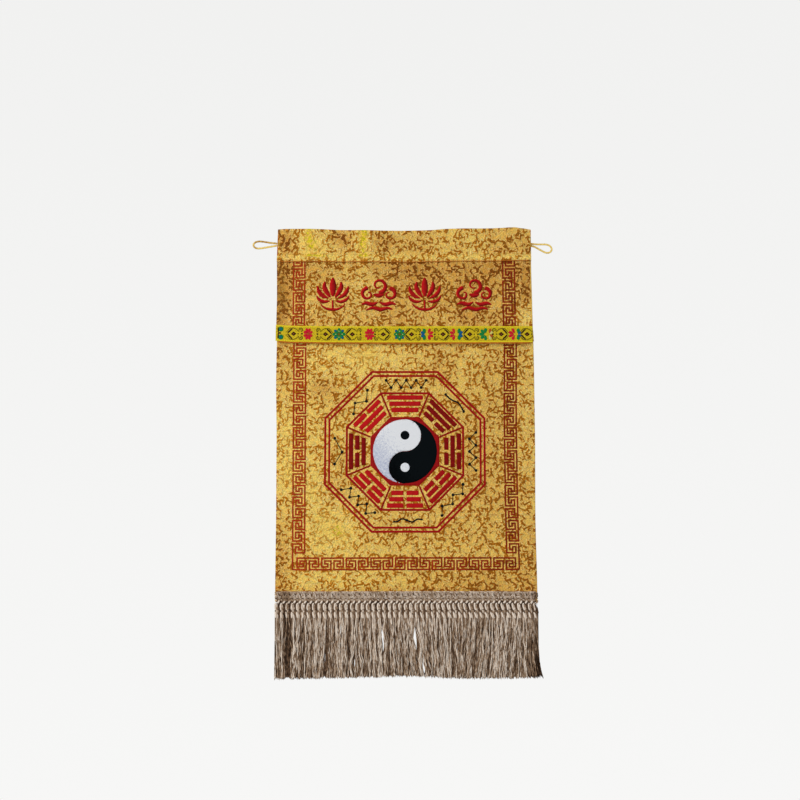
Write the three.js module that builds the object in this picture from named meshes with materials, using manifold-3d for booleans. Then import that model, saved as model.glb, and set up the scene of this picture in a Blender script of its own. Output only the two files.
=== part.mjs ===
// A small embroidered wall hanging of gold brocade, in the pieces that a workshop sews together:
//   panel       the long ground, with its hem turned at the sides and foot
//   heading     a strip folded over the top edge, one leaf in front and one behind
//   valance     a short free flap that falls from under the heading
//   ribbon      a woven ribbon along the valance's hem
//   fringe      one comb: a braided header with bunches of thread under it
//   loop_left, loop_right   thin cords sewn into the ends of the heading, for hanging
// Embroidery, weave, stitches and single threads are surface work and have no solids here.
//
// Millimetres, +X to the right and +Z up. The face looks along -Y and the wall is on the +Y side.
// The origin is the middle of the line between the two top corners.

import * as THREE from 'three';
import { mergeVertices } from 'three/addons/utils/BufferGeometryUtils.js';
import Module from 'manifold-3d';

const wasm = await Module();
wasm.setup();

// ---- driving dimensions ----

const CLOTH = 1;                // thickness of a layer of brocade, with its turned hem
const GAP = 0.45;               // clearance between layers that are sewn together, before their folds
const PLY = CLOTH + GAP;        // from the middle of one layer to the middle of the next
const COLUMN = 10;              // facet width across the cloth
const COLUMNS = 30;             // facets across the cloth, from edge to edge
const ROW = 20;                 // facet height down the cloth

const PANEL = { under: 2.7, foot: -434 };        // under: depth of its top edge inside the heading
const VALANCE = { under: 3, hem: 0.9 };          // hem: how far the ribbon's foot covers the valance's
const HEADING = { fold: 2.15, backFoot: -36 };   // fold: height of the fold over the leaves
const STAND_OFF = { left: 1.4, right: 3.4, from: -40, to: -134 };   // how far the free flap stands forward
const FRINGE = {
  top: -422.5,
  band: -435,                   // foot of the braided band that is sewn to the cloth
  knot: -448,                   // where the bunches part
  bunches: 48,
  slit: 0.8,                    // daylight between two bunches
  header: 1.5,                  // thickness of the braided band
  depth: 4,                     // thickness at the knots and down the bunches
  root: 2,                      // how far a bunch runs up into the header
  inset: 0.1,                   // how far its faces lie inside the header's
  overhang: 0.6,                // how far the fringe stands past the cloth's sides
};
const CORD = { diameter: 1.8, sides: 8, steps: 20 };

// The cloth's outline, which is a few millimetres uneven all round.
const SIDES = [
  { z: 2, left: -149.1, right: 149.2 },
  { z: -38, left: -150.3, right: 149.4 },
  { z: -85, left: -149.9, right: 149.9 },
  { z: -116, left: -150.1, right: 150.0 },
  { z: -138, left: -149.4, right: 151.2 },
  { z: -180, left: -149.6, right: 151.5 },
  { z: -250, left: -148.2, right: 151.7 },
  { z: -342, left: -147.7, right: 150.9 },
  { z: -422, left: -147.9, right: 151.8 },
];
const TOP_EDGE = [
  { x: -150, z: -0.4 },
  { x: -140, z: 0.2 },
  { x: -90, z: -0.5 },
  { x: -50, z: -1.6 },
  { x: 0, z: -1.7 },
  { x: 30, z: -1.2 },
  { x: 50, z: 0 },
  { x: 80, z: 0.7 },
  { x: 110, z: 1.2 },
  { x: 130, z: 1.9 },
  { x: 140, z: 0.8 },
  { x: 150, z: -0.6 },
];
const HEADING_FOOT = [
  { x: -150, z: -38.2 },
  { x: 0, z: -38.4 },
  { x: 150, z: -36.8 },
];
const RIBBON = [
  { x: -151, top: -114.8, foot: -133.6 },
  { x: -130, top: -116.3, foot: -135 },
  { x: -90, top: -117, foot: -135.7 },
  { x: 0, top: -117.2, foot: -135.9 },
  { x: 151, top: -117, foot: -135.7 },
];
const RIBBON_OVERHANG = 0.9;    // how far the ribbon's turned ends stand past the cloth's sides

// Soft ridges (out > 0) and troughs (out < 0): where each is centred, how far it fades across the
// cloth and along it, and how far it stands towards the front.
const FOLDS = [
  { x: -108, z: -8, across: 22, along: 55, out: 2.0 },
  { x: -77, z: -12, across: 17, along: 50, out: -1.7 },
  { x: -50, z: -8, across: 17, along: 55, out: 1.8 },
  { x: 2, z: -20, across: 34, along: 70, out: -1.5 },
  { x: 62, z: -10, across: 22, along: 60, out: 1.5 },
  { x: 98, z: -30, across: 20, along: 60, out: -1.0 },
  { x: 128, z: 0, across: 16, along: 45, out: 1.4 },
  { x: -152, z: -85, across: 20, along: 55, out: -3.0 },
  { x: 152, z: -70, across: 18, along: 60, out: -1.6 },
  { x: -112, z: -320, across: 28, along: 120, out: 2.4 },
  { x: -55, z: -370, across: 45, along: 60, out: 1.4 },
  { x: 25, z: -400, across: 50, along: 60, out: -1.2 },
  { x: 112, z: -300, across: 42, along: 140, out: -2.0 },
  { x: 150, z: -420, across: 30, along: 70, out: 1.6 },
];

// How far the fringe's bunches swing to the side between the knots and the tips.
const SWING = [
  { x: -150, z: -521, by: 1.4 },
  { x: -60, z: -519.5, by: 0.6 },
  { x: 5, z: -518, by: -0.8 },
  { x: 20, z: -518.5, by: 1.2 },
  { x: 110, z: -520.5, by: 0.8 },
  { x: 152, z: -519, by: 3.4 },
];

// The hanging cords, from the end that leaves the heading round the eye and back beside it.
const LOOP_LEFT = [
  [-150.1, -1.2, -17.5], [-154.6, -0.9, -17.0], [-158.9, -0.9, -16.5], [-163.6, -1.0, -15.8],
  [-168.3, -1.2, -15.2], [-172.6, -1.4, -15.1], [-176.2, -1.5, -16.4], [-178.2, -1.4, -19.1],
  [-176.9, -1.2, -22.1], [-173.4, -1.0, -23.4], [-169.0, -0.8, -23.1], [-165.0, -0.6, -22.4],
  [-161.2, -0.5, -21.7], [-157.0, -0.5, -21.0], [-153.4, -0.5, -20.3], [-150.1, -0.4, -19.8],
];
const LOOP_RIGHT = [
  [149.7, -1.0, -18.0], [152.6, -0.9, -18.1], [155.8, -0.9, -18.4], [159.4, -1.0, -18.5],
  [163.2, -1.2, -18.6], [167.2, -1.4, -18.7], [170.9, -1.5, -19.9], [173.4, -1.5, -22.3],
  [173.9, -1.3, -25.6], [171.6, -1.1, -28.2], [168.0, -0.9, -28.6], [164.5, -0.7, -27.3],
  [161.5, -0.6, -25.6], [158.5, -0.5, -23.9], [155.6, -0.5, -22.1], [152.5, -0.5, -20.8],
  [149.7, -0.5, -20.3],
];

// ---- the way the cloth hangs ----

// Reads a column of a table between its rows, by its x or its z.
function read(table, key, at, column) {
  const rows = [...table].sort((a, b) => a[key] - b[key]);
  const after = rows.findIndex((row) => row[key] >= at);
  if (after === 0) return rows[0][column];
  if (after < 0) return rows[rows.length - 1][column];
  const low = rows[after - 1];
  const high = rows[after];
  return THREE.MathUtils.mapLinear(at, low[key], high[key], low[column], high[column]);
}

// How far the cloth at (x, z) stands towards the front.
function fold(x, z) {
  const bell = (f) => f.out * Math.exp(-(((x - f.x) / f.across) ** 2) - ((z - f.z) / f.along) ** 2);
  return FOLDS.reduce((sum, f) => sum + bell(f), 0);
}

// How much further the valance stands forward, which is nothing at the heading and most at its hem.
function standOff(x, z) {
  const down = THREE.MathUtils.smoothstep(-z, -STAND_OFF.from, -STAND_OFF.to);
  return down * THREE.MathUtils.mapLinear(x, -150, 150, STAND_OFF.left, STAND_OFF.right);
}

// The x of facet line i across the cloth, whose two outermost lines are the uneven sides.
function columnX(i, z, overhang = 0) {
  if (i === 0) return read(SIDES, 'z', z, 'left') - overhang;
  if (i === COLUMNS) return read(SIDES, 'z', z, 'right') + overhang;
  return (i - COLUMNS / 2) * COLUMN;
}

// The heights of the facet lines from top to foot. Layers share them, so their facets lie alike.
function rowHeights(top, foot) {
  const between = [];
  for (let z = Math.ceil(top / ROW) * ROW; z > foot; z -= ROW) {
    if (z < top - ROW / 4 && z > foot + ROW / 4) between.push(z);
  }
  return [top, ...between, foot];
}

// ---- making a layer of cloth ----

// A box cut into facets, whose corner at column i, row j and side -1 (front) or 1 (back) goes to place().
function layer(rows, place) {
  const box = new THREE.BoxGeometry(1, 1, 1, COLUMNS, rows, 1);
  const position = box.getAttribute('position');
  for (let n = 0; n < position.count; n += 1) {
    const i = Math.round((position.getX(n) + 0.5) * COLUMNS);
    const j = Math.round((0.5 - position.getY(n)) * rows);
    const side = position.getZ(n) > 0 ? -1 : 1;
    const { x, y, z } = place(i, j, side);
    position.setXYZ(n, x, y, z);
  }
  box.computeVertexNormals();
  return box;
}

// A flat-cut piece, ply layers in front of the panel, from top(x) down to foot(x).
function cutPiece({ ply, top, foot, lift = () => 0, overhang = 0 }) {
  const levels = rowHeights(top(0), foot(0));
  const last = levels.length - 1;
  return layer(last, (i, j, side) => {
    const x = columnX(i, levels[j], overhang);
    const ends = { 0: top(x), [last]: foot(x) };
    const z = ends[j] ?? levels[j];
    return { x, y: -fold(x, z) - ply * PLY - lift(x, z) + (side * CLOTH) / 2, z };
  });
}

const topEdge = (x) => read(TOP_EDGE, 'x', x, 'z');

function panel() {
  return cutPiece({ ply: 0, top: (x) => topEdge(x) - PANEL.under, foot: () => PANEL.foot });
}

function valance() {
  const foot = (x) => read(RIBBON, 'x', x, 'foot') + VALANCE.hem;
  return cutPiece({ ply: 1, top: (x) => topEdge(x) - VALANCE.under, foot, lift: standOff });
}

function ribbon() {
  const top = (x) => read(RIBBON, 'x', x, 'top');
  const foot = (x) => read(RIBBON, 'x', x, 'foot');
  return cutPiece({ ply: 2, top, foot, lift: standOff, overhang: RIBBON_OVERHANG });
}

// The heading runs up the back of the other layers, over their top edge and down the front.
function heading() {
  const middle = -PLY / 2;                      // y of the middle of the layers that it wraps
  const reach = PLY * 1.5;                      // from there to the middle of each leaf
  const bend = HEADING.fold - CLOTH / 2;        // height of the fold's middle line over its centre
  const back = [1, 0.65, 0.3].map((share) => ({ share, turn: 180 }));
  const over = [180, 150, 120, 90, 60, 30, 0].map((degrees) => ({ share: 0, turn: degrees }));
  const front = [0.25, 0.6, 1].map((share) => ({ share, turn: 0 }));
  const stations = [...back, ...over, ...front];
  return layer(stations.length - 1, (i, j, side) => {
    const { share, turn } = stations[j];
    const angle = THREE.MathUtils.degToRad(turn);
    const x = columnX(i, share * HEADING.backFoot);
    const centre = topEdge(x) - HEADING.fold;
    const foot = turn < 90 ? read(HEADING_FOOT, 'x', x, 'z') : HEADING.backFoot;
    const outward = (-side * CLOTH) / 2;
    const z = THREE.MathUtils.lerp(centre, foot, share) + Math.sin(angle) * (bend + outward);
    const y = middle - Math.cos(angle) * (reach + outward) - fold(x, Math.min(z, centre));
    return { x, y, z };
  });
}

// ---- the fringe ----

// Where the fringe's back lies, clear of the panel's foot.
const fringeBack = (x, z) => -fold(x, Math.max(z, FRINGE.knot)) - CLOTH / 2 - GAP;

// The braided header, which thickens downward to the knots.
function fringeHeader() {
  const levels = [FRINGE.top, FRINGE.band, FRINGE.knot];
  const thickness = [FRINGE.header, FRINGE.header, FRINGE.depth];
  return layer(levels.length - 1, (i, j, side) => {
    const z = levels[j];
    const x = columnX(i, z, FRINGE.overhang);
    const back = fringeBack(x, z);
    return { x, y: side < 0 ? back - thickness[j] : back, z };
  });
}

// Bunch n of thread, whose head is sunk in the header and whose foot swings to one side.
function bunch(n) {
  const left = columnX(0, FRINGE.knot, FRINGE.overhang);
  const right = columnX(COLUMNS, FRINGE.knot, FRINGE.overhang);
  const pitch = (right - left) / FRINGE.bunches;
  const middle = left + (n + 0.5) * pitch;
  const uneven = ((n % 3) - 1) * 0.6;
  const tip = read(SWING, 'x', middle, 'z') + uneven;
  const box = new THREE.BoxGeometry(pitch - FRINGE.slit, FRINGE.depth - 2 * FRINGE.inset, 1, 1, 1, 2);
  const position = box.getAttribute('position');
  for (let k = 0; k < position.count; k += 1) {
    const down = 0.5 - position.getZ(k);
    const z = THREE.MathUtils.lerp(FRINGE.knot + FRINGE.root, tip, down);
    const swing = read(SWING, 'x', middle, 'by') * down ** 1.5;
    const y = fringeBack(middle, z) - FRINGE.depth / 2 + position.getY(k);
    position.setXYZ(k, middle + position.getX(k) + swing, y, z);
  }
  return box;
}

function solid(geometry) {
  const bare = geometry.clone().deleteAttribute('normal').deleteAttribute('uv');
  const merged = mergeVertices(bare, 1e-4);
  return new wasm.Manifold(new wasm.Mesh({
    numProp: 3,
    vertProperties: Float32Array.from(merged.getAttribute('position').array),
    triVerts: Uint32Array.from(merged.index.array),
  }));
}

// One comb: the header and every bunch in one solid.
function fringe() {
  let comb = solid(fringeHeader());
  for (let n = 0; n < FRINGE.bunches; n += 1) comb = comb.add(solid(bunch(n)));
  const { vertProperties, triVerts } = comb.getMesh();
  const geometry = new THREE.BufferGeometry();
  geometry.setAttribute('position', new THREE.BufferAttribute(vertProperties, 3));
  geometry.setIndex(new THREE.BufferAttribute(triVerts, 1));
  geometry.computeVertexNormals();
  return geometry;
}

// ---- the hanging cords ----

function cord(route) {
  const path = new THREE.CatmullRomCurve3(route.map(([x, y, z]) => new THREE.Vector3(x, y, z)));
  const section = new THREE.Shape();
  for (let n = 0; n < CORD.sides; n += 1) {
    const angle = ((n + 0.5) / CORD.sides) * 2 * Math.PI;
    const corner = [Math.cos(angle), Math.sin(angle)].map((c) => (c * CORD.diameter) / 2);
    if (n === 0) section.moveTo(...corner);
    else section.lineTo(...corner);
  }
  section.closePath();
  return new THREE.ExtrudeGeometry(section, { steps: CORD.steps, extrudePath: path });
}

// ---- colours and the whole hanging ----

const cloth = (color) => new THREE.MeshStandardMaterial({ color, roughness: 0.55, metalness: 0 });
const BROCADE = cloth('#c39b48');
const BROCADE_SHADE = cloth('#ac803c');
const RIBBON_YELLOW = cloth('#c9b92c');
const FRINGE_TAUPE = cloth('#8a7663');
const CORD_GOLD = cloth('#d9b84f');

const PIECES = [
  { name: 'panel', make: panel, material: BROCADE },
  { name: 'heading', make: heading, material: BROCADE },
  { name: 'valance', make: valance, material: BROCADE_SHADE },
  { name: 'ribbon', make: ribbon, material: RIBBON_YELLOW },
  { name: 'fringe', make: fringe, material: FRINGE_TAUPE },
  { name: 'loop_left', make: () => cord(LOOP_LEFT), material: CORD_GOLD },
  { name: 'loop_right', make: () => cord(LOOP_RIGHT), material: CORD_GOLD },
];

const hanging = new THREE.Group();
for (const { name, make, material } of PIECES) {
  const mesh = new THREE.Mesh(make(), material);
  mesh.name = name;
  hanging.add(mesh);
}

export default hanging;
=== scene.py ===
# %% [markdown]
# # An embroidered brocade wall hanging
#
# This lesson dresses a small wall hanging of gold brocade. Its real size and its layers come from a
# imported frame: a long panel, a heading folded over the top, a short free valance with a woven ribbon
# on its hem, a thread fringe and two cord loops. We add what the eye looks for on cloth: the woven
# figure, raised embroidery, hems and stitches, twisted cord and over a thousand loose threads.
#
# Blender works in metres here, and the tables below are in millimetres, as a maker would measure.

# %% Load the frame
import math
import random

import bmesh
import bpy
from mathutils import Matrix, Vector, noise


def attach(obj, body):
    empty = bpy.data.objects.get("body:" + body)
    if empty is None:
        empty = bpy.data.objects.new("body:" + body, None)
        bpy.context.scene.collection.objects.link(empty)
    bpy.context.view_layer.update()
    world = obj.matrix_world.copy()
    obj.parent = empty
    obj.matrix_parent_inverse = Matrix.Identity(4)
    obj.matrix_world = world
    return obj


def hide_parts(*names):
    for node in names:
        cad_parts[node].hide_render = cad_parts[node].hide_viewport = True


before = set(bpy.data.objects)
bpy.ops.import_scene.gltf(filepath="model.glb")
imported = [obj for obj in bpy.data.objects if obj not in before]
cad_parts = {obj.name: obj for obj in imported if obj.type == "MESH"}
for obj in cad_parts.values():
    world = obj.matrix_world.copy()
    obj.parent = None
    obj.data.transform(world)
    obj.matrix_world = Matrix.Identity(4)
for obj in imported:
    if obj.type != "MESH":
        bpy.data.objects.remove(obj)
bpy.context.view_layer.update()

MM = 0.001
FRONT = Vector((0, -1, 0))
scene = bpy.context.scene
print("nodes to dress:", sorted(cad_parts))

# %% [markdown]
# ## The camera
#
# The camera stands in front of the hanging and a little below its middle, and tips up a few degrees,
# which makes the top of the cloth look slightly narrower than its foot. A plain object needs the
# Standard view transform, so that a dyed colour in the file is the colour in the picture.

# %% Camera
camera = bpy.data.objects.new("camera", bpy.data.cameras.new("camera"))
scene.collection.objects.link(camera)
scene.camera = camera
camera.location = (-0.0051, -1.0327, -0.2897)
camera.rotation_euler = (math.radians(94.8), 0, 0)
camera.data.lens = 40
camera.data.sensor_width = 36
scene.view_settings.view_transform = "Standard"

# %% [markdown]
# ## Colours and nodes
#
# Dye colours are written as the hex values that a screen shows. Shaders work with linear light, so one
# function converts them. One more small function adds any node: it sets properties by name, and fills
# sockets from a dictionary, where a value is set and another node is linked.
#
# Every piece has a UV map named flat. It holds metres on the flat cloth or along the thread, and the
# materials read it in millimetres, so that a thread's real pitch can be written down.

# %% Colour and node helpers
WAVE = 1 / 3.2                  # scale at which a wave texture repeats once in every unit


def linear(hex_colour):
    """The linear RGBA of an sRGB hex colour."""
    parts = [int(hex_colour[i:i + 2], 16) / 255 for i in (1, 3, 5)]
    return (*[c / 12.92 if c <= 0.04045 else ((c + 0.055) / 1.055) ** 2.4 for c in parts], 1)


def add(tree, kind, sockets=None, stops=(), **settings):
    """Adds a node with its settings, sets or links its sockets, and fills a ramp's (position, hex) stops."""
    node = tree.nodes.new("ShaderNode" + kind)
    for name, value in settings.items():
        setattr(node, name, value)
    for n, (position, colour) in enumerate(stops):
        element = node.color_ramp.elements[n] if n < 2 else node.color_ramp.elements.new(position)
        element.position, element.color = position, linear(colour)
    for name, value in (sockets or {}).items():
        if isinstance(value, bpy.types.Node):
            value = next(out for out in value.outputs if out.enabled)
        if isinstance(value, bpy.types.NodeSocket):
            tree.links.new(value, node.inputs[name])
        else:
            node.inputs[name].default_value = value
    return node


def new_material(name, roughness, specular=0.25):
    """A material and its Principled shader. Thread scatters light, so it is less shiny than plastic."""
    material = bpy.data.materials.new(name)
    material.use_nodes = True
    shader = material.node_tree.nodes["Principled BSDF"]
    shader.inputs["Roughness"].default_value = roughness
    shader.inputs["Specular IOR Level"].default_value = specular
    return material, material.node_tree, shader


def cloth_material(name, roughness, specular, turn=0):
    """A material and its flat map in millimetres, turned by some degrees."""
    material, tree, _ = new_material(name, roughness, specular)
    place = add(tree, "UVMap", uv_map="flat")
    mm = add(tree, "Mapping", {"Vector": place, "Rotation": (0, 0, math.radians(turn)),
                               "Scale": (1 / MM, 1 / MM, 1)})
    return material, tree, mm


def coat(material, colour, relief, strength, depth):
    """Gives a material its colour and a relief, depth millimetres deep, and returns it."""
    tree = material.node_tree
    shader = tree.nodes["Principled BSDF"]
    bump = add(tree, "Bump", {"Height": relief, "Strength": strength, "Distance": depth * MM})
    tree.links.new(colour, shader.inputs["Base Color"])
    tree.links.new(bump.outputs["Normal"], shader.inputs["Normal"])
    return material


print("a mid grey of #808080 is", round(linear("#808080")[0], 3), "in linear light")

# %% [markdown]
# ## The hanging cords
#
# Each cord is a real length of twisted gold cord, 1.8 mm thick, both of whose ends are sewn into the
# heading. Its route is a short list of given points, and a smooth curve through them gives the
# centreline.

# %% Routes of the cords
LOOP_LEFT = [
    (-150.1, -1.2, -17.5), (-154.6, -0.9, -17.0), (-158.9, -0.9, -16.5), (-163.6, -1.0, -15.8),
    (-168.3, -1.2, -15.2), (-172.6, -1.4, -15.1), (-176.2, -1.5, -16.4), (-178.2, -1.4, -19.1),
    (-176.9, -1.2, -22.1), (-173.4, -1.0, -23.4), (-169.0, -0.8, -23.1), (-165.0, -0.6, -22.4),
    (-161.2, -0.5, -21.7), (-157.0, -0.5, -21.0), (-153.4, -0.5, -20.3), (-150.1, -0.4, -19.8),
]
LOOP_RIGHT = [
    (149.7, -1.0, -18.0), (152.6, -0.9, -18.1), (155.8, -0.9, -18.4), (159.4, -1.0, -18.5),
    (163.2, -1.2, -18.6), (167.2, -1.4, -18.7), (170.9, -1.5, -19.9), (173.4, -1.5, -22.3),
    (173.9, -1.3, -25.6), (171.6, -1.1, -28.2), (168.0, -0.9, -28.6), (164.5, -0.7, -27.3),
    (161.5, -0.6, -25.6), (158.5, -0.5, -23.9), (155.6, -0.5, -22.1), (152.5, -0.5, -20.8),
    (149.7, -0.5, -20.3),
]


def smooth_line(route, steps):
    """Points, in metres, along a smooth curve through a route in millimetres."""
    points = [Vector(p) * MM for p in route]
    padded = [2 * points[0] - points[1], *points, 2 * points[-1] - points[-2]]
    line = []
    for n in range(steps + 1):
        at = min(n / steps * (len(points) - 1), len(points) - 1.0001)
        i, f = int(at), at % 1
        a, b, c, d = padded[i:i + 4]
        line.append(0.5 * (2 * b + (c - a) * f + (2 * a - 5 * b + 4 * c - d) * f ** 2
                           + (3 * b - a - 3 * c + d) * f ** 3))
    return line


print("the left cord's route ends", LOOP_LEFT[-1], "and the right one's", LOOP_RIGHT[-1])

# %% [markdown]
# ## How pieces are made
#
# Nearly every part starts as a flat grid from a bmesh operator. One helper puts its vertices, gives each
# a value that a material can read, and keeps the UV map. A tube is such a grid, wrapped round a line.
# Its seam is closed by merging what meets, and its radius shrinks to nothing at both ends, so the shape
# is closed. Three lobes that turn as they go make it look like three plies of cord.
#
# Each part is shaped on its own and then poured into its piece, which keeps a big piece quick.

# %% Grids, tubes and pieces
def uv_layer(bm):
    return bm.loops.layers.uv.get("flat") or bm.loops.layers.uv.new("flat")


def pour(part, bm):
    """Adds a finished part to a piece."""
    mesh = bpy.data.meshes.new("part")
    part.to_mesh(mesh)
    part.free()
    bm.from_mesh(mesh)
    bpy.data.meshes.remove(mesh)


def lay_grid(bm, columns, rows, attribute, place):
    """A grid. place(u, v), each from 0 to 1, gives a vertex its point, its attribute and its UV."""
    uv = uv_layer(bm)
    value = bm.verts.layers.float.new(attribute)
    verts = bmesh.ops.create_grid(bm, x_segments=columns, y_segments=rows, size=0.5)["verts"]
    flat = {}
    for vert in verts:
        vert.co, vert[value], flat[vert] = place(vert.co.x + 0.5, vert.co.y + 0.5)
    for vert in verts:
        for loop in vert.link_loops:
            loop[uv].uv = flat[vert]
    return verts


def at(value, *where):
    """A value that may be a function of where it is."""
    return value(*where) if callable(value) else value


def tube(piece_bm, line, radius, sides, shade=0.5, lobes=0, twist=1.0):
    """A tube round a line in metres, closed to a point at both ends.

    Its UV map runs along it and round it, and starts at a place of its own, so no two threads look alike.
    shade may be a function of how far along the tube it is, from 0 to 1.
    """
    bm = bmesh.new()
    along = len(line) - 1
    length = [0.0]
    for a, b in zip(line, line[1:]):
        length.append(length[-1] + (b - a).length)

    def place(u, v):
        i, angle = round(u * along), 2 * math.pi * v
        tangent = (line[min(i + 1, along)] - line[max(i - 1, 0)]).normalized()
        side = tangent.cross(FRONT).normalized()
        lobe = 1 + 0.16 * math.cos(lobes * (angle + 2 * math.pi * length[i] / twist)) if lobes else 1
        reach = 0 if i in (0, along) else radius * lobe
        point = line[i] + reach * (math.cos(angle) * side + math.sin(angle) * side.cross(tangent))
        flat = (length[i] + 40 * line[0].x, v * 2 * math.pi * radius + 30 * line[-1].x)
        return point, at(shade, i / along), flat

    verts = lay_grid(bm, along, sides, "shade", place)
    bmesh.ops.remove_doubles(bm, verts=verts, dist=1e-6)
    pour(bm, piece_bm)


def piece(bm, name, slot, *materials, replaces=()):
    """Turns a bmesh into a piece of the hanging."""
    mesh = bpy.data.meshes.new(name)
    bm.to_mesh(mesh)
    bm.free()
    mesh.shade_smooth()
    for material in materials:
        mesh.materials.append(material)
    obj = bpy.data.objects.new(name, mesh)
    scene.collection.objects.link(obj)
    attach(obj, "root")
    if replaces:
        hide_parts(*replaces)
    print(f"{name}: {len(mesh.polygons)} faces")
    return obj


# %% [markdown]
# Twisted rayon cord is glossy on the crown of each ply and darker where two plies meet. Its UV map runs
# along the cord, so a slanted wave on it draws bundles of the plies' threads. The shade attribute tells
# a stretch that faces the light from one that lies in the cloth's shadow.

# %% Cord material
material, tree, mm = cloth_material("gold rayon cord, twisted", 0.42, 0.3, turn=35)
bundles = add(tree, "TexWave", {"Vector": mm, "Scale": WAVE / 3.75, "Distortion": 1.5})
lie = add(tree, "Attribute", attribute_name="shade", attribute_type="GEOMETRY")
mixed = add(tree, "Math", {0: bundles.outputs["Fac"], 1: 0.25, 2: lie.outputs["Fac"]},
            operation="MULTIPLY_ADD")
ramp = add(tree, "ValToRGB", {"Fac": mixed}, stops=[(0.1, "#A87020"), (1.0, "#FFE482")])
gold_cord = coat(material, ramp.outputs["Color"], bundles.outputs["Fac"], 0.4, 0.15)
print("the cord's threads lie in bundles 3.75 mm apart")

# %% [markdown]
# Each loop is a tube along its route. A small table says how brightly it is lit along its way,
# and the same kind of table later gives the cloth its uneven outline.

# %% The two loops
CORD_DIAMETER = 1.8
CORD_TWIST = 5.5                # length of one turn of the plies
PLUMP = 1.15                    # the lobed tube is this much fuller than the cord's core


def read(table, where, column=1):
    """A table's column at a place between its rows, eased so that the edge has no corners."""
    rows = sorted(table)
    if where <= rows[0][0]:
        return rows[0][column]
    for low, high in zip(rows, rows[1:]):
        if where <= high[0]:
            f = (where - low[0]) / (high[0] - low[0])
            f = 0.5 * f + 0.5 * f * f * (3 - 2 * f)
            return low[column] + (high[column] - low[column]) * f
    return rows[-1][column]


def hanging_cord(name, route, node, lit):
    """One cord loop, a tube along its route."""
    line = smooth_line(route, 110)
    bm = bmesh.new()
    tube(bm, line, PLUMP * CORD_DIAMETER / 2 * MM, 12, lambda f: read(lit, f), 3, CORD_TWIST * MM)
    obj = piece(bm, name, "cord", gold_cord, replaces=[node])


LIT_LEFT = [(0.0, 0.3), (0.1, 0.5), (0.2, 0.2), (0.38, 0.25), (0.46, 0.75), (0.53, 0.3), (0.58, 0.4),
            (0.64, 0.9), (1.0, 0.8)]
LIT_RIGHT = [(0.0, 0.45), (0.2, 0.75), (0.45, 0.8), (0.7, 0.75), (1.0, 0.5)]
hanging_cord("cord_left", LOOP_LEFT, "loop_left", LIT_LEFT)
hanging_cord("cord_right", LOOP_RIGHT, "loop_right", LIT_RIGHT)

# %% [markdown]
# ## How the cloth hangs
#
# Brocade this size hangs almost flat, but never quite: the heading ripples between the points that hold
# it, the free flap curls back at its left edge, and the long panel has a few soft flutes. Each fold is
# one row of a table: where it is centred, how far it fades across and along the cloth, and how far it
# stands forward. The frame's layers use the same folds, so every layer stays clear of the next.
#
# To these we add a pucker, the fine unevenness of hand-pressed cloth, from a noise function.

# %% Folds and outline
CLOTH = 0.6                     # thickness of the brocade
PLY = 1.45                      # from the middle of one layer to the middle of the next
SIDES = [
    (2, -149.1, 149.2), (-38, -150.3, 149.4), (-85, -149.9, 149.9), (-116, -150.1, 150.0),
    (-138, -149.4, 151.2), (-180, -149.6, 151.5), (-250, -148.2, 151.7), (-342, -147.7, 150.9),
    (-422, -147.9, 151.8),
]
TOP_EDGE = [
    (-150, -0.4), (-140, 0.2), (-90, -0.5), (-50, -1.6), (0, -1.7), (30, -1.2), (50, 0), (80, 0.7),
    (110, 1.2), (130, 1.9), (140, 0.8), (150, -0.6),
]
HEADING_FOOT = [(-150, -38.2), (0, -38.4), (150, -36.8)]
RIBBON_EDGES = [
    (-151, -114.8, -133.6), (-130, -116.3, -135), (-90, -117, -135.7), (0, -117.2, -135.9),
    (151, -117, -135.7),
]
STAND_OFF = {"left": 1.4, "right": 3.4, "start": -40, "hem": -134}
FOLDS = [  # x, z, across, along, out
    (-108, -8, 22, 55, 2.0), (-77, -12, 17, 50, -1.7), (-50, -8, 17, 55, 1.8), (2, -20, 34, 70, -1.5),
    (62, -10, 22, 60, 1.5), (98, -30, 20, 60, -1.0), (128, 0, 16, 45, 1.4), (-152, -85, 20, 55, -3.0),
    (152, -70, 18, 60, -1.6), (-112, -320, 28, 120, 2.4), (-55, -370, 45, 60, 1.4),
    (25, -400, 50, 60, -1.2), (112, -300, 42, 140, -2.0), (150, -420, 30, 70, 1.6),
]
PUCKER = 0.22


def fold(x, z):
    """How far the cloth stands forward at (x, z), in millimetres."""
    bells = (out * math.exp(-((x - fx) / across) ** 2 - ((z - fz) / along) ** 2)
             for fx, fz, across, along, out in FOLDS)
    pucker = noise.noise(Vector((x / 13, z / 17, 0))) + 0.5 * noise.noise(Vector((x / 6, z / 8, 5)))
    return sum(bells) + PUCKER * pucker


def stand_off(x, z):
    """How much further the free valance stands forward, most at its hem."""
    down = (STAND_OFF["start"] - z) / (STAND_OFF["start"] - STAND_OFF["hem"])
    down = min(max(down, 0), 1)
    down = down * down * (3 - 2 * down)
    reach = STAND_OFF["left"] + (STAND_OFF["right"] - STAND_OFF["left"]) * (x + 150) / 300
    return down * reach


PLIES = {"back": -1, "panel": 0, "valance": 1, "heading": 2, "ribbon": 2}


def middle(layer, x, z):
    """How far forward the middle of a layer lies at (x, z), in millimetres."""
    loose = stand_off(x, z) if layer in ("valance", "ribbon") else 0
    return fold(x, z) + PLIES[layer] * PLY + loose


def on(layer, x, z, out=0.0):
    """The point on a layer's front face at (x, z), or out millimetres in front of it, in metres."""
    return Vector((x, -(middle(layer, x, z) + CLOTH / 2 + out), z)) * MM


print("the cloth stands from", round(min(fold(x, -80) for x in range(-150, 151, 5)), 1), "to",
      round(max(fold(x, -20) for x in range(-150, 151, 5)), 1), "mm forward")

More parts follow.
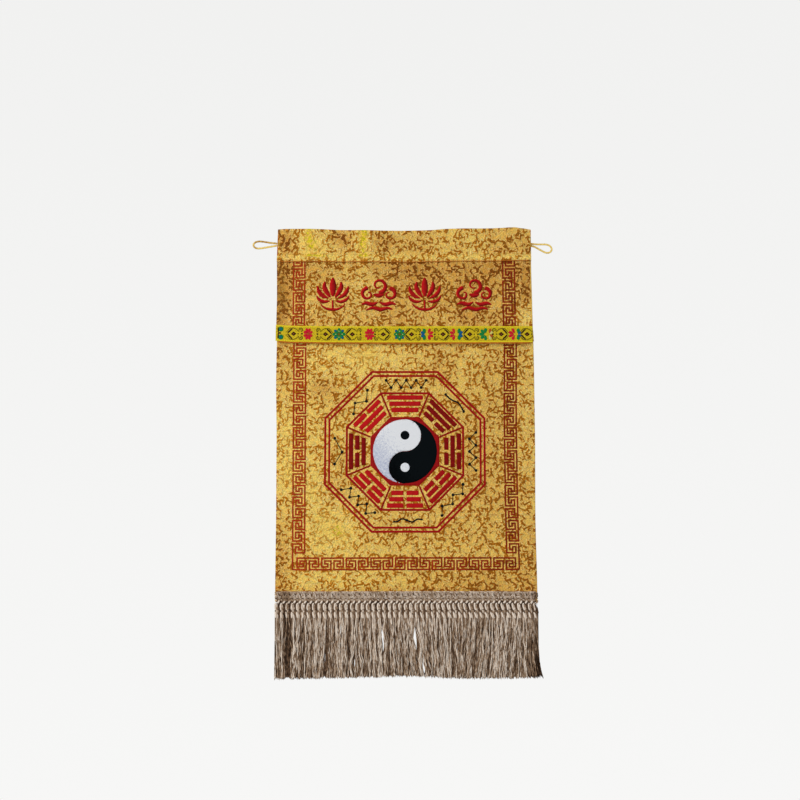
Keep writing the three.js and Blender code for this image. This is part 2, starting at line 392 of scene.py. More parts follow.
# %% [markdown]
# ## Gold brocade
#
# Brocade is a satin ground of pale gold with a figure of short curled strokes in an ochre weft. A real
# loom repeats the figure, but the repeat is larger than the eye follows, so a procedural figure is
# honest here. Each stroke is one cell of a Voronoi texture: inside its cell the coordinates are turned
# by the cell's own random colour, and a tapered S is drawn in them. Two sizes of stroke overlap, and a
# slow warp keeps them from looking stamped.

# %% Strokes of the figure
FIGURES = [  # cell size, bend of the stroke, half length, half width, shift of the cells
    (6.6, 1.2, 2.8, 1.5, 17.0),
    (10.4, 2.6, 4.4, 1.8, 53.0),
]


def stroke_depth(tree, mm, cell, bend, half, width, away):
    """How deep a point lies inside the tapered S of its Voronoi cell, in millimetres."""
    moved = add(tree, "VectorMath", {0: mm, 1: (away, away / 3, 0)}, operation="ADD")
    scaled = add(tree, "VectorMath", {0: moved, "Scale": 1 / cell}, operation="SCALE")
    cells = add(tree, "TexVoronoi", {"Vector": scaled, "Scale": 1.0, "Randomness": 0.8},
                voronoi_dimensions="2D")
    inside = add(tree, "VectorMath", {0: scaled, 1: cells.outputs["Position"]}, operation="SUBTRACT")
    inside = add(tree, "VectorMath", {0: inside, "Scale": cell}, operation="SCALE")
    chance = add(tree, "SeparateColor", {0: cells.outputs["Color"]})
    angle = add(tree, "Math", {0: chance, 1: 2 * math.pi}, operation="MULTIPLY")
    turned = add(tree, "VectorRotate", {"Vector": inside, "Angle": angle}, rotation_type="Z_AXIS")
    xy = add(tree, "SeparateXYZ", {0: turned})
    phase = add(tree, "Math", {0: xy.outputs["X"], 1: math.pi / half}, operation="MULTIPLY")
    wave = add(tree, "Math", {0: phase}, operation="SINE")
    wave = add(tree, "Math", {0: wave, 1: -bend, 2: xy.outputs["Y"]}, operation="MULTIPLY_ADD")
    off = add(tree, "Math", {0: wave}, operation="ABSOLUTE")
    far = add(tree, "Math", {0: xy.outputs["X"], 1: 1 / half}, operation="MULTIPLY")
    far = add(tree, "Math", {0: far, 1: 2.0}, operation="POWER")
    taper = add(tree, "Math", {0: far, 1: -width, 2: width}, operation="MULTIPLY_ADD")
    return add(tree, "Math", {0: taper, 1: off}, operation="SUBTRACT")


print("strokes of", [2 * half for _, _, half, _, _ in FIGURES], "mm in cells of", [row[0] for row in FIGURES])

# %% [markdown]
# The ground is mottled by its own floats, and the figure is raised a little. The tone attribute holds
# painted sheen and painted shade, which change from fold to fold: above 1 the cloth is painted a clear
# yellow sheen, at 0 a shaded brown, at -1 dull shade. Where the painted sheen is high, the strokes also
# thin out. Open places without strokes lie here and there.

# %% Brocade material
OPEN_MM = 13.0                  # size of the areas without strokes
FLOAT_MM = 1.7                  # size of the ground's mottling
RIB_MM = 0.9                    # the ground's ribs, drawn coarser than the real 0.3 mm so that they show
REACH = (-2.2, 1.3)             # depth outside and inside a stroke that the colours span, in millimetres
# The next three colours are painted light: a painted sheen on the yellowest places, painted glints in them,
# and painted shade where the cloth turns from the light.
PAINTED_SHEEN = "#F8DA6A"                # the ground of the yellowest places
PAINTED_GLINT = "#E2CE08"                # and their specks
DULL = "#8E6418"                # where the cloth turns from the light


def brocade(name, yellow, brown, face=True):
    """Woven gold brocade. yellow and brown are its lit and its shaded colours, where the painted sheen is
    high and low.

    Only its face has the painted sheen, the painted glints and the painted shade.
    """
    material, tree, mm = cloth_material(name, 0.5, 0.12)
    slow = add(tree, "TexNoise", {"Vector": mm, "Scale": 0.12, "Detail": 1.0}, noise_dimensions="2D")
    shift = add(tree, "VectorMath", {0: slow.outputs["Color"], 1: (-0.5, -0.5, -0.5)}, operation="ADD")
    shift = add(tree, "VectorMath", {0: shift, "Scale": 4.0}, operation="SCALE")
    warped = add(tree, "VectorMath", {0: mm, 1: shift}, operation="ADD")
    depth, other = [stroke_depth(tree, warped, *figure) for figure in FIGURES]
    depth = add(tree, "Math", {0: depth, 1: other}, operation="MAXIMUM")
    places = add(tree, "TexNoise", {"Vector": mm, "Scale": 1 / OPEN_MM, "Detail": 1.0},
                 noise_dimensions="2D")
    gap = add(tree, "MapRange", {"Value": places.outputs["Fac"], "From Min": 0.5, "From Max": 0.66,
                                 "To Min": 0.15, "To Max": -1.4})
    depth = add(tree, "Math", {0: depth, 1: gap}, operation="ADD")
    # The tone attribute is painted sheen and shade: it mixes the shaded and the lit colours, and where it is
    # high the strokes thin out.
    tone = add(tree, "Attribute", attribute_name="tone", attribute_type="GEOMETRY")
    depth = add(tree, "Math", {0: tone.outputs["Fac"], 1: -0.35, 2: depth}, operation="MULTIPLY_ADD")
    ragged = add(tree, "TexNoise", {"Vector": mm, "Scale": 0.55, "Detail": 3.0, "Roughness": 0.6},
                 noise_dimensions="2D")
    rag = add(tree, "MapRange", {"Value": ragged.outputs["Fac"], "From Min": 0.3, "From Max": 0.7,
                                 "To Min": -0.4, "To Max": 0.4})
    depth = add(tree, "Math", {0: depth, 1: rag}, operation="ADD")

    reach = add(tree, "MapRange", {"Value": depth, "From Min": REACH[0], "From Max": REACH[1]})
    low = add(tree, "ValToRGB", {"Fac": reach}, stops=brown)
    high = add(tree, "ValToRGB", {"Fac": reach}, stops=yellow)
    both = add(tree, "Mix", {"Factor": tone.outputs["Fac"], "A": low, "B": high}, data_type="RGBA")
    patches = add(tree, "TexNoise", {"Vector": mm, "Scale": 0.3, "Detail": 3.0}, noise_dimensions="2D")
    # Painted sheen, painted glints and painted shade go over the woven colours, on the face only.
    if face:
        patchy = add(tree, "Math", {0: tone.outputs["Fac"], 1: patches.outputs["Fac"]}, operation="ADD")
        for value, start, end, low, high, colour in (
                (tone.outputs["Fac"], 0.95, 1.4, 0.0, 0.8, PAINTED_SHEEN), (patchy, 1.88, 2.0, 0.0, 0.85, PAINTED_GLINT),
                (tone.outputs["Fac"], -1.0, 0.0, 0.8, 0.0, DULL)):
            share = add(tree, "MapRange", {"Value": value, "From Min": start, "From Max": end,
                                           "To Min": low, "To Max": high})
            both = add(tree, "Mix", {"Factor": share, "A": both.outputs["Result"], "B": linear(colour)},
                       data_type="RGBA")
    hue = add(tree, "MapRange", {"Value": patches.outputs["Fac"], "From Min": 0.36, "From Max": 0.66})
    tint = add(tree, "Mix", {"Factor": hue, "A": (1.08, 0.95, 0.8, 1), "B": (0.93, 0.98, 1.0, 1)},
               data_type="RGBA")
    both = add(tree, "VectorMath", {0: both.outputs["Result"], 1: tint.outputs["Result"]},
               operation="MULTIPLY")
    floats = add(tree, "TexNoise", {"Vector": mm, "Scale": 1 / FLOAT_MM, "Detail": 2.0},
                 noise_dimensions="2D")
    speckle = add(tree, "MapRange", {"Value": floats.outputs["Fac"], "From Min": 0.3, "From Max": 0.7,
                                     "To Min": 0.7, "To Max": 1.22})
    woven = add(tree, "VectorMath", {0: both, "Scale": speckle}, operation="SCALE")

    ribs = add(tree, "TexWave", {"Vector": mm, "Scale": WAVE / RIB_MM, "Distortion": 0.6,
                                 "Detail": 1.0}, bands_direction="DIAGONAL")
    fine = add(tree, "Math", {0: ribs.outputs["Fac"], 1: 0.04}, operation="MULTIPLY")
    lift = add(tree, "Math", {0: floats.outputs["Fac"], 1: 0.15, 2: fine}, operation="MULTIPLY_ADD")
    lift = add(tree, "Math", {0: reach, 1: 1.0, 2: lift}, operation="MULTIPLY_ADD")
    return coat(material, woven.outputs["Vector"], lift, 0.9, 1.5)


# Lit and shaded copies of the brocade's colours, mixed by the painted sheen and shade. Their pale stop at
# 0.38, just outside each stroke, is partly the weave's pale float edges and partly a painted highlight on the
# raised figure's edge.
BRIGHT = [(0.0, "#F5D874"), (0.22, "#F8DA70"), (0.38, "#FCF0B0"), (0.49, "#F8CE58"), (0.58, "#E4A83A"),
          (0.72, "#CE8C20"), (0.88, "#B8760E")]
SHADED = [(0.0, "#D2A048"), (0.22, "#D6A44A"), (0.38, "#FAD68A"), (0.49, "#CC8E38"), (0.58, "#AC6E18"),
          (0.72, "#94590A"), (0.88, "#7E4806")]
gold_brocade = brocade("gold brocade, satin ground with ochre figure", BRIGHT, SHADED)
REVERSE = [(0.0, "#B47A2A"), (0.52, "#B9822F"), (0.62, "#D9BC74"), (0.85, "#E0C683")]
gold_reverse = brocade("gold brocade, reverse side", REVERSE, REVERSE, face=False)
print("the brocade's ramps span", REACH, "mm about a stroke's edge")

# %% [markdown]
# ## Cloth with turned hems
#
# A sheet starts as a grid from a bmesh operator, and every vertex is then hung: its place across and
# down the cloth becomes a point on the folds. The grid's outermost columns and rows go round a small
# roll and back behind the cloth, which is how a hem is turned. The UV map keeps the flat cut size in
# metres, so the woven figure runs over the hem without stretching. Solidify gives it its thickness.

# %% Sheet helpers
STEP = 2.5                      # spacing of the grid
ROLL = [(-1.2, 1.0, 0.95), (-0.5, 0.3, 0.85), (0.0, 0.0, 0.45), (0.5, 0.25, 0.1)]  # flat, inset, back
# Painted sheen and shade: each bell makes the cloth yellower where a fold catches the light, or browner and
# duller where it turns from the light.
SHEEN_AND_SHADE = [  # x, z, across, along, by: where the lustre turns yellow (+) or brown (-)
    (-139, -14, 9, 16, -0.6), (-113, -12, 9, 22, 0.65), (-97, -24, 14, 14, 0.5), (-75, -12, 10, 12, -0.6),
    (-48, -12, 8, 30, 1.0), (-22, -14, 16, 14, -0.55), (18, -16, 30, 18, -0.1), (74, -14, 16, 30, 0.25),
    (124, -22, 28, 30, -0.3), (0, -33.0, 400, 3.0, 0.5), (-150, -10, 2, 9, -0.25), (-148.5, -27, 3, 10, 1.0),
    (-147, -84, 12, 56, -1.1), (143, -68, 9, 32, -0.6), (0, -46, 170, 14, -0.35), (141, -108, 10, 18, 0.75),
    (60, -72, 66, 34, -0.3), (-64, -64, 26, 26, 0.2), (-6, -86, 10, 30, -0.2),
    (-142, -165, 16, 34, -0.3), (-96, -190, 15, 13, -0.75), (-137, -265, 14, 50, 0.35),
    (-58, -150, 62, 22, 0.3),
    (-75, -290, 18, 40, -0.2), (-104, -300, 14, 100, 0.25), (-78, -356, 26, 26, 0.38),
    (-142, -390, 14, 50, -0.5), (147, -385, 12, 50, -0.4),
    (0, -360, 40, 40, -0.15), (95, -270, 60, 150, -0.35), (40, -165, 14, 26, -0.35), (78, -160, 12, 24, 0.15),
    (80, -408, 60, 16, -0.35), (0, -423, 200, 6, -0.35), (-90, -412, 40, 12, 0.2),
]


def painted_sheen_and_shade(x, z, base):
    """How yellow the cloth is painted at (x, z), from -1 to 1.5: painted sheen and shade from the table, and
    a random drift.
    """
    bells = (by * math.exp(-((x - tx) / across) ** 2 - ((z - tz) / along) ** 2)
             for tx, tz, across, along, by in SHEEN_AND_SHADE)
    drift = 0.2 * noise.noise(Vector((x / 30, z / 40, 9))) + 0.25 * noise.noise(Vector((x / 9, z / 14, 4)))
    return min(max(base + sum(bells) + drift, -1), 1.5)


def stations(length, hem_start, hem_end):
    """(flat, inset, back, from_end) along a cut edge: a turned hem, even steps, and a turned hem."""
    start = [(-hem_start, hem_start, 1.0, 0), (-hem_start / 2, hem_start / 2, 1.0, 0)] if hem_start else []
    end = [(-hem_end, hem_end, 1.0, 1), (-hem_end / 2, hem_end / 2, 1.0, 1)] if hem_end else []
    start += [(*r, 0) for r in ROLL] if hem_start else [(0, 0, 0, 0)]
    end += [(*r, 1) for r in ROLL] if hem_end else [(0, 0, 0, 1)]
    count = round((length - 3) / STEP)
    inner = [1.5 + (length - 3) * n / count for n in range(count + 1)]
    return (start + [(a, a, 0, 0) for a in inner]
            + [(length - f, length - i, b, 1) for f, i, b, _ in end[::-1]])


def sheet(name, slot, materials, node, across, down, place, thickness=CLOTH):
    """A cloth piece whose columns are across and whose rows are down. place(column, row) hangs a vertex.

    Solidify thickens it half to each side, and a second material goes on its back.
    """
    def hang(u, v):
        column, row = across[round(u * (len(across) - 1))], down[round((1 - v) * (len(down) - 1))]
        return *place(column, row), (column[0] * MM, -row[0] * MM)

    bm = bmesh.new()
    lay_grid(bm, len(across) - 1, len(down) - 1, "tone", hang)
    obj = piece(bm, name, slot, *materials, replaces=[node])
    solid = obj.modifiers.new("thickness", "SOLIDIFY")
    solid.thickness, solid.offset = thickness * MM, 0
    solid.material_offset = len(materials) - 1
    return obj


def side_x(column, z, width):
    """The x of a column: its inset from the nearer side, blended across the uneven cloth."""
    left, right = read(SIDES, z, 1), read(SIDES, z, 2)
    return left + (right - left) * column[1] / width


# %% [markdown]
# The panel is one length with a turned hem on three sides; its top edge is raw, inside the heading. The
# valance is cut the same way and hangs in front of it.

# %% Panel and valance
WIDTH = 300
SIDE_HEM = 10
FOOT_HEM = 12


def flat_cut(name, layer, top, foot, base, node, side_hem, foot_hem):
    """A hemmed length of brocade on a layer, from top(x) down to foot(x)."""
    across = stations(WIDTH, side_hem, side_hem)
    length = top(0) - foot(0)
    down = stations(length, 0, foot_hem)

    def place(column, row):
        x = side_x(column, top(0) - row[1], WIDTH)
        z = top(x) - row[1] * (top(x) - foot(x)) / length
        forward = middle(layer, x, z) - column[2] - row[2]
        # Each vertex carries its painted sheen and shade as its tone.
        return Vector((x, -forward, z)) * MM, painted_sheen_and_shade(x, z, base)

    obj = sheet(name, "brocade", [gold_brocade, gold_reverse], node, across, down, place)
    flat = ((WIDTH + 2 * side_hem) * MM, (length + foot_hem) * MM)
    print(f"  cut {flat[0] / MM:.0f} x {flat[1] / MM:.0f} mm")
    return obj, flat


# The number after each foot is the base of the cut's painted sheen and shade.
panel, panel_cut = flat_cut(
    "panel_cloth", "panel", lambda x: read(TOP_EDGE, x) - 2.9, lambda x: -434, 0.8, "panel",
    SIDE_HEM, FOOT_HEM)
valance, valance_cut = flat_cut(
    "valance_cloth", "valance", lambda x: read(TOP_EDGE, x) - 3.1, lambda x: read(RIBBON_EDGES, x, 2) + 1.2,
    0.5, "valance", 5, 0)

# %% [markdown]
# The heading is a strip that goes up the back, over the top edge and down the front, where its foot is
# turned under and topstitched. Between the stitches and the folded foot the cloth stands in a small
# soft bead, and above the stitches it puckers.

# %% Heading
HEADING_BACK_FOOT = -36
FOLD_OVER = 2.15                # height of the fold over the leaves
TOPSTITCH = 7.0                 # height of the stitching over the heading's foot
BEAD = 0.7
HEADING_DROP = 1.6             # the front foot hangs this much lower than its CAD solid


def heading_section():
    """Rows (flat, share, turn) from the back leaf's foot over the top to the front leaf's foot."""
    back = [(36 * (1 - n / 12), 1 - n / 12, 180) for n in range(12)]
    over = [(-2.6 * n / 8, 0, 180 - 22.5 * n) for n in range(9)]
    front = [(-2.6 - 36 * n / 36, n / 36, 0) for n in range(1, 37)]
    return [(-f, s, t) for f, s, t in back + over + front]


def heading_place(column, row):
    _, share, turn = row
    x = side_x(column, share * HEADING_BACK_FOOT, WIDTH)
    top = read(TOP_EDGE, x)
    centre = top - FOLD_OVER
    front = turn < 90
    foot = read(HEADING_FOOT, x) - HEADING_DROP if front else HEADING_BACK_FOOT
    angle = math.radians(turn)
    z = centre + (foot - centre) * share + math.sin(angle) * (FOLD_OVER - CLOTH / 2)
    above = z - foot - TOPSTITCH
    shape = 0.0
    if front and share > 0:
        dip = math.exp(-(above / 0.7) ** 2)
        bead = BEAD * math.sin(math.pi * min(max((z - foot) / TOPSTITCH, 0), 1))
        gather = 0.3 * math.exp(-abs(above) / 6) * noise.noise(Vector((x / 2.6, z / 15, 3)))
        shape = bead - 0.3 * dip + gather
    under = column[2] if share > 0 else 0.6 * column[2]
    forward = PLY / 2 + math.cos(angle) * (PLY * 1.5 - under) + fold(x, min(z, centre)) + shape
    # A painted highlight on the bead above the heading's foot, and painted shade on the foot's turned-under
    # edge.
    painted_highlight_and_shade = 0.0
    if front and share > 0:
        painted_highlight_and_shade = 0.5 * math.exp(-((z - foot - 3.4) / 2) ** 2) - 0.5 * math.exp(-((z - foot) / 0.8) ** 2)
    return Vector((x, -forward, z)) * MM, min(painted_sheen_and_shade(x, z, 0.68) + painted_highlight_and_shade, max(1.05, painted_sheen_and_shade(x, z, 0.68)))


heading = sheet("heading_cloth", "brocade", [gold_brocade, gold_reverse], "heading",
                stations(WIDTH, 5, 5), heading_section(), heading_place)

# %% [markdown]
# ## Stitches and satin embroidery
#
# A running stitch is a row of tiny capsules, each a sphere that is stretched along the seam.

# %% Stitches
def ball(piece_bm, across, up, attribute, value, place):
    """A stitch or a dot: place(x, y, z) gives each point of a unit sphere its place and its UV."""
    bm = bmesh.new()
    uv = uv_layer(bm)
    layer = bm.verts.layers.float.new(attribute)
    bmesh.ops.create_uvsphere(bm, u_segments=across, v_segments=up, radius=1)
    for vert in bm.verts:
        vert.co, flat = place(*vert.co)
        vert[layer] = value
        for loop in vert.link_loops:
            loop[uv].uv = flat
    pour(bm, piece_bm)


def capsule(piece_bm, centre, direction, half_length, radius, depth, shade=0.5):
    """A small rounded stitch along a direction in the cloth's plane. Sizes in millimetres."""
    side = FRONT.cross(direction)

    def place(across, forward, along):
        point = centre + MM * (along * half_length * direction + across * radius * side
                               + forward * depth * FRONT)
        return point, (along * half_length * MM, across * radius * MM)

    ball(piece_bm, 6, 5, "shade", shade, place)


def running_stitch(bm, layer, route, length=2.3, pitch=3.1, radius=0.28):
    """Stitches along a route of (x, z) points on a layer."""
    for (ax, az), (bx, bz) in zip(route, route[1:]):
        run = math.hypot(bx - ax, bz - az)
        direction = Vector((bx - ax, 0, bz - az)).normalized()
        for n in range(int(run / pitch)):
            f = (n + 0.5) * pitch / run
            centre = on(layer, ax + (bx - ax) * f, az + (bz - az) * f, 0.05)
            capsule(bm, centre, direction, length / 2, radius, radius, 0.6)


# %% [markdown]
# Satin stitch lies side by side across a line, so it makes a raised, rounded band: a narrow grid whose
# middle stands proud, mitred where the line turns a corner. Its UV map runs along and across the band,
# and a wave on that map draws the single threads.

# %% Satin stitch
SUNK = 0.06                     # how deep the edges of a band of stitches lie in the cloth


def stitched_line(route, closed=False):
    """Stations (x, z, sideways x, sideways z, distance) along a route, mitred at its corners."""
    points = [Vector(p) for p in route]
    if closed:
        points.append(points[0])
    runs = [(b - a).normalized() for a, b in zip(points, points[1:])]
    made, distance = [], 0.0
    for i, (a, b) in enumerate(zip(points, points[1:])):
        length = (b - a).length
        count = max(2, round(length / 2.0))
        for n in range(count + 1):
            if n == count and i < len(runs) - 1:
                continue
            normal = Vector((-runs[i].y, runs[i].x))
            before = runs[i - 1] if (i or closed) else runs[i]
            if n == 0 and before.dot(runs[i]) < 0.999:
                other = Vector((-before.y, before.x))
                normal = (normal + other) / max(1 + normal.dot(other), 0.35)
            if n == count and closed:
                other = Vector((-runs[0].y, runs[0].x))
                normal = (normal + other) / max(1 + normal.dot(other), 0.35)
            point = a + (b - a) * n / count
            made.append((point.x, point.y, normal.x, normal.y, distance + length * n / count))
        distance += length
    return made


def satin(piece_bm, layer, route, width, rise=0.4, closed=False, across=4, dye_and_painted_light=0.5, lift=0.0, turn=0.0):
    """A band of satin stitch. width is millimetres, or a function of how far along it is, from 0 to 1.

    Its attribute value is a number, or a function of (x, z), kept in a vertex attribute: on embroidery it
    paints how lit or shaded the thread looks, and on the ribbon it picks the dye. turn paints a highlight on
    the side of the band that turns to the upper left, and paints shade on its other side.
    """
    bm = bmesh.new()
    line = stitched_line(route, closed)
    total = line[-1][4]

    def place(u, v):
        x, z, nx, nz, distance = line[round(u * (len(line) - 1))]
        t = 2 * v - 1
        wide = at(width, distance / total)
        dome = math.sqrt(max(1 - t * t, 0)) * rise
        if not closed:
            dome *= min(1, 0.35 + min(distance, total - distance) / 0.8)
        point = on(layer, x + nx * t * wide / 2, z + nz * t * wide / 2, dome - SUNK + lift)
        # The vertex attribute gets the painted light, and turn adds a painted highlight on the upper left
        # side and painted shade on the other.
        return point, at(dye_and_painted_light, x, z) + turn * t * (nz - nx), (distance * MM, t * wide / 2 * MM)

    verts = lay_grid(bm, len(line) - 1, across, "dye_and_painted_light", place)
    if closed:
        bmesh.ops.remove_doubles(bm, verts=verts, dist=1e-6)
    pour(bm, piece_bm)


# %% [markdown]
# A filled shape starts from its outline. A triangle fill closes it, an inset makes its rounded rim, and
# planes cut it into cells, so that it follows the folds. All needlework has a flat underside.

# %% Filled shapes
def patch(piece_bm, layer, outline, rise=0.5, cell=3.0, rim=0.7, lift=0.0, dye_and_painted_light=0.5):
    """A filled shape from its outline of (x, z) points, cut into cells so that it follows the folds.

    Its attribute value is a number, or a function of (x, z), as for satin: the painted light on its thread.
    """
    shape = bmesh.new()
    ring = [shape.verts.new((x, z, 0)) for x, z in outline]
    edges = [shape.edges.new((a, b)) for a, b in zip(ring, ring[1:] + ring[:1])]
    bmesh.ops.triangle_fill(shape, edges=edges, use_beauty=True)
    bmesh.ops.inset_region(shape, faces=shape.faces[:], thickness=rim, use_even_offset=True)
    for axis in range(2):
        spread = [p[axis] for p in outline]
        cut = math.ceil(min(spread) / cell) * cell
        while cut < max(spread):
            place, normal = [0, 0, 0], [0, 0, 0]
            place[axis], normal[axis] = cut, 1
            bmesh.ops.bisect_plane(shape, geom=shape.verts[:] + shape.edges[:] + shape.faces[:],
                                   plane_co=place, plane_no=normal, dist=0.01)
            cut += cell
    bmesh.ops.recalc_face_normals(shape, faces=shape.faces[:])
    if shape.faces[0].normal.z < 0:
        bmesh.ops.reverse_faces(shape, faces=shape.faces[:])
    flat = uv_layer(shape)
    colour = shape.verts.layers.float.new("dye_and_painted_light")
    for face in shape.faces:
        for loop in face.loops:
            loop[flat].uv = (loop.vert.co.x * MM, loop.vert.co.y * MM)
    edge_verts = {v for v in shape.verts if v.is_boundary}
    for vert in shape.verts:
        height = -SUNK if vert in edge_verts else rise
        vert[colour] = at(dye_and_painted_light, vert.co.x, vert.co.y)
        vert.co = on(layer, vert.co.x, vert.co.y, height + lift)
    pour(shape, piece_bm)


def embroidered(bm, name, slot, material, sunk=0.25):
    """A piece of needlework. Solidify gives it a flat underside, sunk in the cloth."""
    obj = piece(bm, name, slot, material)
    solid = obj.modifiers.new("underside", "SOLIDIFY")
    solid.thickness, solid.offset = sunk * MM, -1
    return obj


# %% [markdown]
# Embroidery thread is trilobal rayon: strongly coloured, with a soft gloss that runs along each thread.
# How it catches the light depends on how it lies, so every band carries an attribute of painted light and
# shade, where 0 is the thread painted in its own shade and 1 is the thread painted at its brightest. The
# thread pitch is 0.4 mm on the real cloth. It is drawn at 0.9 mm here, so that it still shows.

# %% Embroidery threads
THREAD_MM = 0.9


def satin_thread(name, light, dark):
    """Embroidery thread laid side by side."""
    material, tree, mm = cloth_material(name, 0.5, 0.08)
    threads = add(tree, "TexWave", {"Vector": mm, "Scale": WAVE / THREAD_MM, "Distortion": 0.8,
                                    "Detail": 1.0})
    patchy = add(tree, "TexNoise", {"Vector": mm, "Scale": 0.3, "Detail": 2.0})
    gloss = add(tree, "Math", {0: threads.outputs["Fac"], 1: 0.3, 2: -0.15}, operation="MULTIPLY_ADD")
    gloss = add(tree, "Math", {0: patchy.outputs["Fac"], 1: 0.5, 2: gloss}, operation="MULTIPLY_ADD")
    lie = add(tree, "Attribute", attribute_name="dye_and_painted_light", attribute_type="GEOMETRY")
    mixed = add(tree, "Math", {0: gloss, 1: lie.outputs["Fac"]}, operation="ADD")
    # The ramp runs from the thread painted in shade to the thread painted in full light.
    ramp = add(tree, "ValToRGB", {"Fac": mixed}, stops=[(0.25, dark), (0.96, light)])
    return coat(material, ramp.outputs["Color"], threads.outputs["Fac"], 0.6, 0.15)


red_thread = satin_thread("red rayon embroidery thread", "#CC141C", "#640602")
key_thread = satin_thread("brick-red rayon embroidery thread", "#B43C18", "#4E0A00")
black_thread = satin_thread("black rayon embroidery thread", "#12171A", "#020405")
yellow_thread = satin_thread("yellow cotton sewing thread", "#F2D873", "#C79B34")

# %% [markdown]
# ## Key border
#
# The border is one unbroken line that folds back on itself, the classic meander. We write one repeat as
# columns and rows of a small grid, and a loop lays it along each side. The right side is mirrored.

# %% Key border
KEY = [  # column from the outer line, row of the repeat
    (4, 0), (1, 0), (1, 2), (2, 2), (2, 1), (3, 1), (3, 3), (0, 3),
    (0, -4), (3, -4), (3, -2), (2, -2), (2, -3), (1, -3), (1, -1), (4, -1)]
KEY_REPEAT = 8
KEY_WIDTH = 2.1


def meander(repeats, whole_start, whole_end):
    """The border's route as (column, row) points. A half repeat can close either end."""
    route = [] if whole_start else [(c, r) for c, r in KEY[8:]]
    for n in range(0 if whole_start else 1, repeats):
        route += [(c, r - n * KEY_REPEAT) for c, r in KEY]
    return route if whole_end else route + [(c, r - repeats * KEY_REPEAT) for c, r in KEY[:8]]


def between(route, low, high):
    """The runs of a route that lie between two heights, joined where they were cut."""
    kept = []
    for run in zip(route, route[1:]):
        if min(z for _, z in run) < high and max(z for _, z in run) > low:
            kept += [(x, min(max(z, low), high)) for x, z in run]
    return [p for p, following in zip(kept, [*kept[1:], None]) if p != following]


def thread_painted_light(x, z):
    """Painted light on the border's thread: brighter on the left, where it faces the light, darker on the
    right, where it turns from it, with a random drift.
    """
    return min(max(0.44 - 0.0012 * x + 0.25 * noise.noise(Vector((x / 9, z / 9, 2))), 0), 1)


def key_band(bm, layer, route):
    """One run of the border."""
    satin(bm, layer, route, KEY_WIDTH, across=3, rise=0.45, dye_and_painted_light=thread_painted_light)


KEY_SIDE_ROWS = (-355.7, 3.34)  # height of the lowest whole repeat's row 0, spacing of the rows
KEY_OUTER = [(-120, -129.4, 131.2), (-230, -128.9, 130.2), (-322, -128.5, 130.7), (-398, -128.3, 131.8)]
KEY_COLUMN = 3.45
FOOT_LINES = (-398.2, -385.1)   # heights of the foot border's outer and inner lines
FOOT_ROWS = (-123.1, 3.53)      # x of its first row, spacing of the rows
bm = bmesh.new()
corners = []
for column, inward in ((1, 1), (2, -1)):
    low, pitch = KEY_SIDE_ROWS[0] - KEY_REPEAT * KEY_SIDE_ROWS[1], KEY_SIDE_ROWS[1]
    route = []
    for c, r in meander(11, False, True):
        z = low - r * pitch
        route.append((read(KEY_OUTER, z, column) + inward * KEY_COLUMN * c, z))
    corner = (read(KEY_OUTER, FOOT_LINES[0], column), FOOT_LINES[0])
    corners.append(corner)
    key_band(bm, "panel", [corner, *between(route, -500, -121)])
first, pitch = FOOT_ROWS
spread = (FOOT_LINES[1] - FOOT_LINES[0]) / 4
route = [(first + (r + 9 * KEY_REPEAT) * pitch, FOOT_LINES[0] + c * spread)
         for c, r in meander(9, False, False)]
key_band(bm, "panel", [corners[1], *route, corners[0]])
print("the foot border runs from", [round(v, 1) for v in route[0]], "to", [round(v, 1) for v in route[-1]])

# %% [markdown]
# The valance has its own length of the border on each side, a little larger, because it was stitched
# apart from the panel. It runs on under the heading and under the ribbon.

# %% Key border of the valance
VALANCE_KEYS = [  # outer x, inward, column, height of a row 0, spacing of the rows
    (-130.4, 1, 3.32, -91.1, 3.56), (129.7, -1, 3.45, -91.4, 3.6)]
for outer, inward, spread, low, pitch in VALANCE_KEYS:
    route = [(outer + inward * spread * c, low - (r + KEY_REPEAT) * pitch) for c, r in meander(4, True, True)]
    key_band(bm, "valance", between(route, -123, -31))
key_border = embroidered(bm, "key_border", "embroidery_red", key_thread)

# %% [markdown]
# ## The octagon
#
# The emblem is a figure of eight trigrams, each three bars, whole or broken, round a disc. Octagons are
# mitred satin lines. The bars are short wide satin bands, laid out by turning one sector eight times.

# %% Octagon, trigrams and ring
CENTRE = Vector((0.7, -262.7))
# The last column of each row is how brightly its thread is painted lit.
OCTAGONS = [(92.5, 2.7, 0.34), (87.8, 2.6, 0.32), (67.5, 2.7, 0.3)]     # apothem, width of line, lie
RING = 40.2
DISC = 37.2
BARS = [(62.6, 20.9), (55.3, 18.4), (48.0, 15.9)]       # distance from the centre, half length
BAR_WIDTH = 5.6
BAR_GAP = 3.3
# The number after each trigram is how brightly its thread is painted lit, which changes with how its stitches
# lie to the light.
TRIGRAMS = [  # clockwise from the top: whole or broken bars, outer first, and how the thread lies
    ("111", 0.5), ("110", 0.12), ("010", 0.12), ("100", 0.35), ("000", 0.52), ("001", 0.52), ("101", 0.12),
    ("011", 0.6)]


def octagon(apothem):
    """The corners of a flat-topped octagon."""
    reach = apothem / math.cos(math.pi / 8)
    angles = [math.radians(22.5 + 45 * n) for n in range(8)]
    return [(CENTRE.x + reach * math.cos(a), CENTRE.y + reach * math.sin(a)) for a in angles]


bm = bmesh.new()
